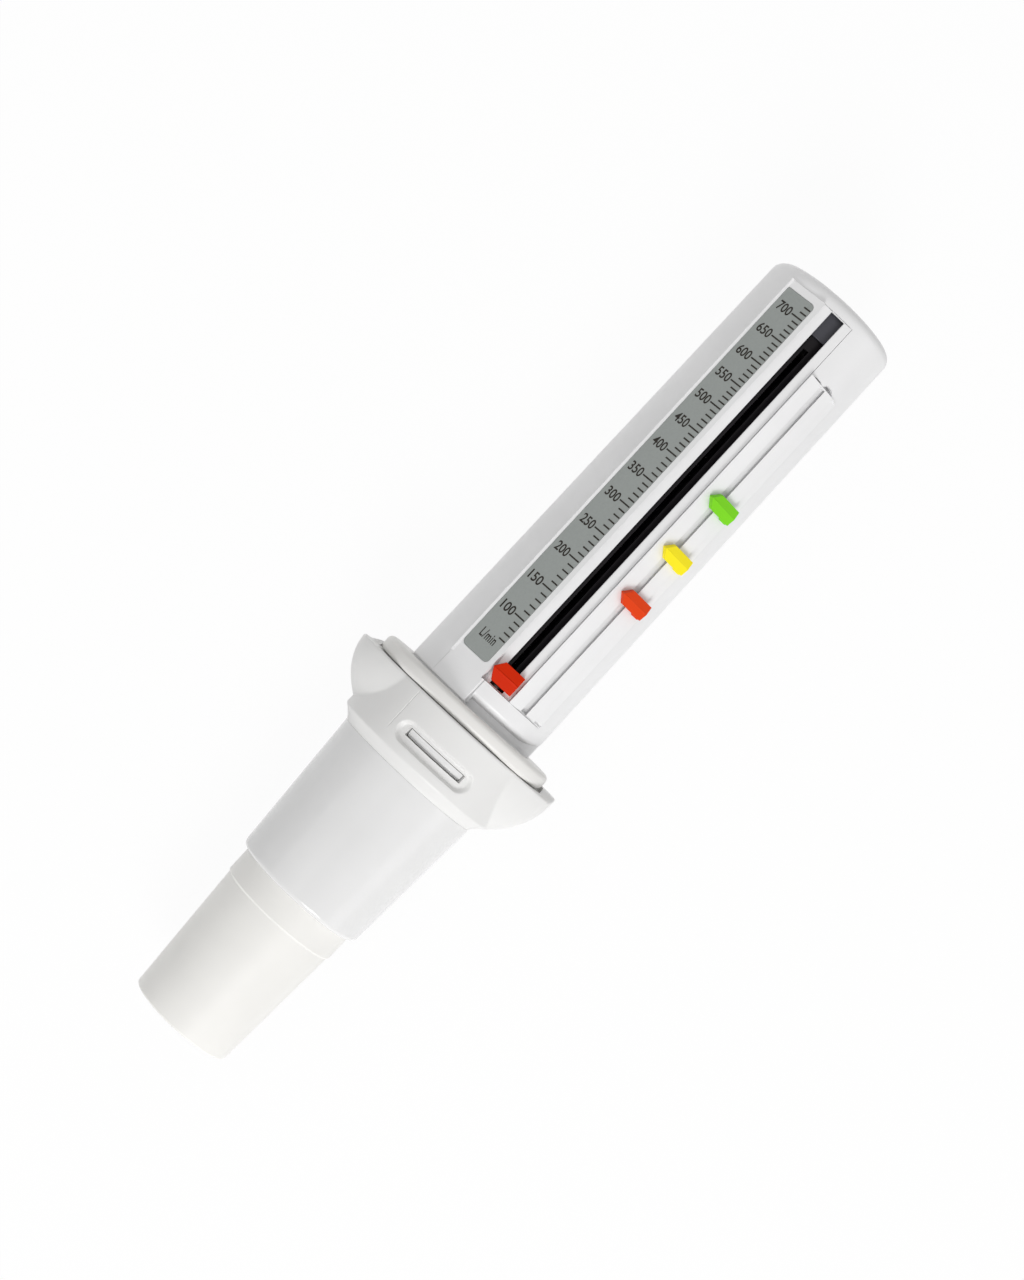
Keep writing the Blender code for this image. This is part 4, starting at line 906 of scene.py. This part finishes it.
def marker_section(groove, station):
    """The insert's section across its facet, with the left groove cut down to a height and the right one
    running out level with the shell's round side at that station."""
    base = np.interp(station, [BODY_START, dome_start], [BODY_BASE_RADIUS, BODY_TOP_RADIUS])
    side = min(math.sqrt(base ** 2 - MARKER_TRACK_RIGHT ** 2), groove + 0.7)
    depth = PLATE_TOP - groove
    cut = min(depth, 1.0) * RAIL_UNDERCUT
    lip = PLATE_TOP - min(RAIL_LIP, depth / 2.0)
    right = max(side, groove)
    corners = [(channel_wall(INSERT_BASE), INSERT_BASE), (channel_wall(PLATE_TOP), PLATE_TOP),
               (GROOVE_LEFT, PLATE_TOP), (GROOVE_LEFT, groove), (RAIL_LEFT + cut, groove),
               (RAIL_LEFT + cut, lip), (RAIL_LEFT, lip), (RAIL_LEFT, PLATE_TOP), (RAIL_RIGHT, PLATE_TOP),
               (RAIL_RIGHT, right), (MARKER_TRACK_RIGHT, side), (MARKER_TRACK_RIGHT, INSERT_BASE)]
    small = min(0.08, depth / 5.0)
    edge = min(0.08, (PLATE_TOP - right) / 2.1)
    return rounded(corners, [0.02, 0.12, small, small, small, small, small, small, edge, edge, 0.02, 0.02], 3)


web_top, pit_floor = PLATE_TOP - 0.02, INSERT_BASE + 0.03
pit_start = MARKER_TRACK_START + WEB
pit_end = pit_start + PIT_LENGTH
marker_track_rings = [on_facet(at, *marker_section(groove, at).T, FACET_TURN) for at, groove in [
    (MARKER_TRACK_START, web_top), (pit_start, web_top), (pit_start + 0.03, pit_floor), (pit_end, pit_floor),
    (pit_end + 0.2, GROOVE_FLOOR), (150.0, GROOVE_FLOOR), (MARKER_TRACK_END - WEB - 0.03, GROOVE_FLOOR),
    (MARKER_TRACK_END - WEB, web_top), (MARKER_TRACK_END, web_top)]]
marker_track = stacked("marker_track_insert", marker_track_rings, panel_plastic)
fitted(marker_track, "housing", "marker_track")


# Pointer: the small red slider that the piston pushes along the slot, a gable with a point towards the
# scale. Moulded in one piece with the stem that reaches through the slot.
POINTER_START = 102.6
POINTER_LENGTH = 5.0
POINTER_RIDGE = 2.6
POINTER_LEFT, POINTER_RIGHT = -3.75, 3.25
POINTER_TIP = 1.6
POINTER_EDGE, POINTER_HEIGHT = 1.3, 1.8
RIB_HALF_WIDTH, RIB_TOP_SHARE = 0.22, 0.4
STEM_INSET = 0.6
SLIDER_BEVEL = 0.12
POINTER_BASE = 16.45
POINTER_STEM_HALF_WIDTH, POINTER_STEM_BASE = 1.35, 15.45
POINTER_COLOUR = (0.63, 0.022, 0.0)


def slider(name, start, length, ridge, left, right, tip, edge, height, base, stem, stem_base, material, turn,
           rib=0.14):
    """A pointed slider: a six-point plan with its tip at the left on the ridge, and a low gable roof that
    falls from the ridge to both ends, with a thin rib along the ridge for the fingernail. Below it stands
    a narrower stem. A bevel softens its edges."""
    half = left + tip
    head = np.array([(0.0, right), (ridge, right), (length, right), (length, half), (ridge, left),
                     (0.0, half)])
    low, high = STEM_INSET, length - STEM_INSET
    foot = np.array([(low, stem[1]), (ridge, stem[1]), (high, stem[1]), (high, stem[0]), (ridge, stem[0]),
                     (low, stem[0])])
    peak = height - rib
    roof = np.array([edge, peak, edge, edge, peak, edge])
    side = np.array([-1.0, 0.0, 1.0, 1.0, 0.0, -1.0])
    top = np.stack([np.full(6, ridge), [right, right, right, half, left, half]], 1)
    rib_foot = top + np.stack([RIB_HALF_WIDTH * side, 0.0 * side], 1)
    rib_top = top + np.stack([RIB_TOP_SHARE * RIB_HALF_WIDTH * side, 0.0 * side], 1)
    levels = [(foot, stem_base), (foot, base), (head, base), (head, base + roof), (rib_foot, base + peak),
              (rib_top, base + height), (top, base + height)]
    rings = [on_facet(start + level[:, 0], level[:, 1], tall + 0.0 * level[:, 0], turn)
             for level, tall in levels]
    bottom = np.repeat(rings[0].mean(axis=0, keepdims=True), 6, axis=0)
    rings = np.stack([bottom] + rings)
    return solid(name, rings, grid_quads(len(rings), 6), material, 30.0, SLIDER_BEVEL)


pointer_plastic = moulded_plastic("pointer_red_plastic", POINTER_COLOUR, 0.42, tint=0.05, grain=0.15,
                                  shine=0.12)
pointer = slider("pointer_slider", POINTER_START, POINTER_LENGTH, POINTER_RIDGE, POINTER_LEFT, POINTER_RIGHT,
                 POINTER_TIP, POINTER_EDGE, POINTER_HEIGHT, POINTER_BASE,
                 (-POINTER_STEM_HALF_WIDTH, POINTER_STEM_HALF_WIDTH), POINTER_STEM_BASE, pointer_plastic, 0.0)
fitted(pointer, "pointer", "pointer")


# Pointer clip: the black clip behind the slot that holds the pointer and drags on the track.
CLIP_START, CLIP_END = 102.7, 107.5
CLIP_HALF_WIDTH = 2.95
CLIP_BASE, CLIP_TOP = 14.3, 15.42
CLIP_EDGE = 0.2
CLIP_COLOUR = (0.02, 0.02, 0.022)
clip_levels = [(CLIP_EDGE, CLIP_BASE), (0.0, CLIP_BASE + CLIP_EDGE)] + soft_edge(CLIP_EDGE, CLIP_TOP, 3)
clip_rings = slab((CLIP_START, CLIP_END, -CLIP_HALF_WIDTH, CLIP_HALF_WIDTH), 0.5, clip_levels)
clip = stacked("pointer_clip_block", clip_rings, moulded_plastic("clip_black_plastic", CLIP_COLOUR, 0.5))
fitted(clip, "pointer", "pointer_clip")


# Zone markers: three small coloured sliders of the same mould, each with feet that grip the rail. They
# mark the red, yellow and green zones and are set by hand.
MARKER_LENGTH = 3.9
MARKER_LEFT, MARKER_RIGHT = -4.05, 4.4
MARKER_TIP = 2.0
MARKER_EDGE, MARKER_HEIGHT = 1.05, 1.5
MARKER_BASE = 17.1
MARKER_STEM, MARKER_STEM_BASE = (-1.55, -0.15), 16.3
MARKER_RIB = 0.08
MARKER_COLOURS = {"red": (135.7, (0.73, 0.048, 0.0)), "yellow": (149.0, (0.92, 0.78, 0.012)),
                  "green": (163.8, (0.2, 0.67, 0.012))}
TAB_LEFT, TAB_RIGHT, TAB_REACH = 2.0, 4.2, 0.25
TAB_TOP = 17.75
for zone_name, (middle, colour) in MARKER_COLOURS.items():
    marker_plastic = moulded_plastic(f"marker_{zone_name}_plastic", colour, 0.42, tint=0.05, grain=0.15,
                                     shine=0.15)
    start = middle - MARKER_LENGTH / 2.0
    marker = slider(f"{zone_name}_marker_slider", start, MARKER_LENGTH, MARKER_LENGTH / 2.0, MARKER_LEFT,
                    MARKER_RIGHT, MARKER_TIP, MARKER_EDGE, MARKER_HEIGHT, MARKER_BASE, MARKER_STEM,
                    MARKER_STEM_BASE, marker_plastic, FACET_TURN, MARKER_RIB)
    fitted(marker, f"{zone_name}_marker", f"{zone_name}_marker")
    tab_levels = [(0.0, MARKER_BASE + 0.05), (0.0, TAB_TOP - 0.15), (0.05, TAB_TOP - 0.05), (0.15, TAB_TOP)]
    tab_rings = slab((start - TAB_REACH, start + 0.3, TAB_LEFT, TAB_RIGHT), 0.3, tab_levels, FACET_TURN)
    tab = stacked(f"{zone_name}_marker_tab", tab_rings, marker_plastic)
    fitted(tab, f"{zone_name}_marker")


# Measuring tube: the glossy black tube behind the panel that the piston runs in. Its narrow slot lets the
# air out and passes the piston's finger.
TUBE_START, TUBE_END = 70.0, 204.5
TUBE_RADIUS, TUBE_BORE = 13.1, 12.0
TUBE_SLOT_START, TUBE_SLOT_END = 100.3, 201.4
TUBE_SLOT_HALF_WIDTH = 0.7
TUBE_COLOUR = (0.012, 0.01, 0.012)
tube_slot_turn = math.asin(TUBE_SLOT_HALF_WIDTH / TUBE_RADIUS)
tube_turns = np.unique(np.concatenate([np.radians(np.arange(-176.0, 180.1, 4.0)),
                                       [-tube_slot_turn, tube_slot_turn]]))
tube_stations = np.array([TUBE_START, TUBE_SLOT_START, 130.0, 160.0, TUBE_SLOT_END, TUBE_END])
station, turn = np.meshgrid(tube_stations, tube_turns, indexing="ij")
tube_slot_rows = (tube_stations[:-1] >= TUBE_SLOT_START) & (tube_stations[:-1] < TUBE_SLOT_END)
tube_slot_columns = np.abs(tube_turns + 0.001) < tube_slot_turn
tube_plastic = moulded_plastic("tube_black_plastic", TUBE_COLOUR, 0.3, patch=0.04, grain=0.03, shine=0.15)
measuring_tube = walled("measuring_tube_sleeve", about_axis(station, TUBE_RADIUS + 0.0 * station, turn),
                        about_axis(station, TUBE_BORE + 0.0 * station, turn), tube_plastic,
                        ~(tube_slot_rows[:, None] & tube_slot_columns[None]))
fitted(measuring_tube, "housing", "measuring_tube")


# Tube seal: a rubber ring squeezed between the measuring tube and the barrel.
SEAL_MIDDLE = (72.2, 13.9)
SEAL_SECTION = 0.78


def rubber(name, colour):
    """Black rubber: matt, with a soft mottle and a fine dusty grain."""
    return moulded_plastic(name, colour, 0.75, tint=0.2, patch=0.08, grain=0.3, grain_size=0.3)


sweep = np.linspace(0.0, 2.0 * np.pi, 16, endpoint=False)
seal_rubber = rubber("seal_black_rubber", (0.03, 0.03, 0.03))
seal_outline = np.array(SEAL_MIDDLE) + SEAL_SECTION * np.stack([np.cos(sweep), np.sin(sweep)], 1)
tube_seal = turned("tube_seal_ring", seal_outline, seal_rubber)
fitted(tube_seal, "housing", "tube_seal")


# Tube end cap: the dark grey cap that steadies the tube's far end and the guide rod, with a flat that the
# pointer's clip passes over.
CAP_START, CAP_END = 204.6, 211.6
CAP_BORE, CAP_RADIUS, CAP_FLAT = 1.1, 14.4, 14.0
CAP_COLOUR = (0.04, 0.04, 0.051)
cap_turns = np.radians(merged(np.arange(-180.0, 180.0, 3.0), np.arange(-15.0, 15.0, 0.5)))
cap_rim = cut_flat(CAP_RADIUS, np.cos(cap_turns), CAP_FLAT, 0.02)
end_cap = rimmed("tube_end_cap_disc", CAP_START, CAP_END, CAP_BORE, cap_rim, 0.2,
                 moulded_plastic("cap_grey_plastic", CAP_COLOUR, 0.4), cap_turns)
fitted(end_cap, "housing", "tube_end_cap")


# Piston: the light white disc with a skirt, driven by the breath, and its finger that pushes the pointer.
PISTON_START, PISTON_END = 98.4, 102.4
PISTON_RADIUS, SKIRT_BORE = 11.85, 10.9
WEB_END = 99.4
HUB_BORE, HUB_RADIUS, HUB_END = 2.6, 3.6, 103.0
FINGER_START, FINGER_HALF_WIDTH = 100.6, 0.5
FINGER_ROOT, FINGER_TOP = 11.2, 14.0
PISTON_COLOUR = (0.75, 0.75, 0.74)
piston_outline = rounded(
    [(PISTON_START, HUB_BORE), (PISTON_START, PISTON_RADIUS), (PISTON_END, PISTON_RADIUS),
     (PISTON_END, SKIRT_BORE), (WEB_END, SKIRT_BORE), (WEB_END, HUB_RADIUS), (HUB_END, HUB_RADIUS),
     (HUB_END, HUB_BORE)], [0.1, 0.3, 0.2, 0.2, 0.4, 0.4, 0.2, 0.1], 4)
inner_plastic = moulded_plastic("inner_white_plastic", PISTON_COLOUR, 0.4)
piston = turned("piston_disc", piston_outline, inner_plastic, 96)
fitted(piston, "piston", "piston")
finger_rings = slab((FINGER_START, PISTON_END, -FINGER_HALF_WIDTH, FINGER_HALF_WIDTH), 0.2,
                    [(0.0, FINGER_ROOT), (0.0, FINGER_TOP - 0.15), (0.15, FINGER_TOP)])
piston_finger = stacked("piston_finger", finger_rings, inner_plastic)
fitted(piston_finger, "piston")


# Piston bush: the nylon sleeve in the piston's hub that runs on the guide rod.
BUSH_START, BUSH_END = 96.0, 103.5
BUSH_BORE, BUSH_RADIUS = 1.1, 2.3
BUSH_COLOUR = (0.6, 0.58, 0.5)


def sleeve_outline(start, end, bore, radius, rounds, steps=3):
    """A sleeve's section: a rectangle of stations and radii with its corners rounded."""
    return rounded([(start, bore), (start, radius), (end, radius), (end, bore)], rounds, steps)


bush = turned("piston_bush_sleeve", sleeve_outline(BUSH_START, BUSH_END, BUSH_BORE, BUSH_RADIUS, 0.2),
              moulded_plastic("bush_nylon_plastic", BUSH_COLOUR, 0.5), 48)
fitted(bush, "piston", "piston_bush")


# Guide rod, its nut and the stop ring where the piston rests: drawn and turned steel.
ROD_START, ROD_END = 59.3, 207.9
ROD_RADIUS = 1.0
NUT_START, NUT_END = 60.7, 62.9
NUT_BORE, NUT_RADIUS = 1.05, 2.6
STOP_START, STOP_END = 94.6, 95.7
STOP_BORE, STOP_RADIUS = 1.02, 2.3
STEEL_COLOUR = (0.55, 0.56, 0.58)


def turned_steel(name, roughness):
    """Turned steel: fine rings of roughness round the axis, from noise pressed flat along the tube."""
    colour = np.array(STEEL_COLOUR)
    rings = (8.0, 3.0, (0.01, 1.0, 1.0))
    return finish(name, (colour * 0.94, colour * 1.04), (4.0, 3.0), (roughness - 0.08, roughness + 0.08),
                  rings, rings, 0.1, depth=0.01, metal=1.0)


steel = turned_steel("turned_steel", 0.28)
rod_outline = sleeve_outline(ROD_START, ROD_END, 0.0, ROD_RADIUS, [0.0, 0.3, 0.3, 0.0])
rod = turned("guide_rod_bar", rod_outline, steel, 32)
fitted(rod, "housing", "guide_rod")
nut_turns = np.radians(np.arange(0.0, 360.0, 5.0))
nut_rim = NUT_RADIUS * math.cos(math.pi / 6.0) / np.cos((nut_turns % (math.pi / 3.0)) - math.pi / 6.0)
nut = rimmed("rod_nut_hex", NUT_START, NUT_END, NUT_BORE, nut_rim, 0.2, steel, nut_turns, 0.2)
fitted(nut, "housing", "rod_nut")
stop_outline = sleeve_outline(STOP_START, STOP_END, STOP_BORE, STOP_RADIUS, 0.15)
rest_stop = turned("rest_stop_ring", stop_outline, steel, 48)
fitted(rest_stop, "housing", "rest_stop")


# Return spring: a long soft coil of fine steel wire round the rod, from the anchor to the piston. The real
# one stretches as the piston runs up the tube; this coil is drawn at rest and hangs on no body.
SPRING_START, SPRING_END = 66.0, 98.1
SPRING_RADIUS = 2.85
WIRE_RADIUS = 0.25
SPRING_TURNS = 18
FLAT_END = 0.06
sweep = np.linspace(0.0, 1.0, SPRING_TURNS * 20 + 1)[:, None]
around = np.linspace(0.0, 2.0 * np.pi, 8, endpoint=False)[None]
coil = 2.0 * np.pi * SPRING_TURNS * sweep
rise = ((1.0 + 2.0 * FLAT_END) * sweep - FLAT_END).clip(0.0, 1.0)
wire_path = SPRING_START + WIRE_RADIUS + (SPRING_END - SPRING_START - 2.0 * WIRE_RADIUS) * rise
spring_points = about_axis(wire_path + WIRE_RADIUS * np.sin(around),
                           SPRING_RADIUS + WIRE_RADIUS * np.cos(around), coil)
spring = stacked("return_spring_coil", spring_points, turned_steel("spring_steel", 0.22))
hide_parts("return_spring")
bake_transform(spring)


# Spring anchor: the open three-armed plate behind the ledge that holds the rod and the spring and lets
# the breath pass.
ANCHOR_START, ANCHOR_END = 63.2, 65.7
ANCHOR_BORE, ANCHOR_HUB, ANCHOR_RING, ANCHOR_RADIUS = 1.05, 3.6, 12.4, 13.9
ANCHOR_EDGE = 0.2
ARMS = 3
ARM_HALF_WIDTH = 0.8
ARM_COLUMNS, GAP_COLUMNS = 4, 14
anchor_radii = np.array([ANCHOR_BORE, ANCHOR_BORE + ANCHOR_EDGE, ANCHOR_HUB - ANCHOR_EDGE, ANCHOR_HUB,
                         5.0, 7.0, 9.0, 11.0, ANCHOR_RING, ANCHOR_RING + ANCHOR_EDGE,
                         ANCHOR_RADIUS - ANCHOR_EDGE, ANCHOR_RADIUS])
arm_half = np.arcsin(np.minimum(ARM_HALF_WIDTH / anchor_radii, 0.9))[:, None]
on_arm = np.linspace(-1.0, 1.0, ARM_COLUMNS + 1)[None, :-1]
off_arm = np.linspace(0.0, 1.0, GAP_COLUMNS + 1)[None, :-1]
sector = np.concatenate([arm_half * on_arm, arm_half + (2.0 * np.pi / ARMS - 2.0 * arm_half) * off_arm], 1)
anchor_turns = np.concatenate([sector + 2.0 * np.pi * i / ARMS for i in range(ARMS)], 1)
drop = np.zeros(len(anchor_radii))
drop[[0, -1]] = ANCHOR_EDGE
flat = 0.0 * anchor_turns
anchor_low = about_axis(ANCHOR_START + drop[:, None] + flat, anchor_radii[:, None], anchor_turns)
anchor_high = about_axis(ANCHOR_END - drop[:, None] + flat, anchor_radii[:, None], anchor_turns)
band = (anchor_radii[1:] + anchor_radii[:-1]) / 2.0
in_arm = np.tile(np.arange(ARM_COLUMNS + GAP_COLUMNS) < ARM_COLUMNS, ARMS)
anchor_keep = in_arm[None] | (band < ANCHOR_HUB)[:, None] | (band > ANCHOR_RING)[:, None]
anchor = walled("spring_anchor_plate", anchor_low, anchor_high, inner_plastic, anchor_keep)
fitted(anchor, "housing", "spring_anchor")


# Top bumper: a rubber disc at the end of the piston's travel.
BUMPER_START, BUMPER_END = 201.4, 203.9
BUMPER_BORE, BUMPER_RADIUS = 1.05, 4.0
bumper_outline = sleeve_outline(BUMPER_START, BUMPER_END, BUMPER_BORE, BUMPER_RADIUS, [0.2, 0.6, 0.6, 0.2], 4)
bumper = turned("top_bumper_disc", bumper_outline, seal_rubber, 48)
fitted(bumper, "housing", "top_bumper")
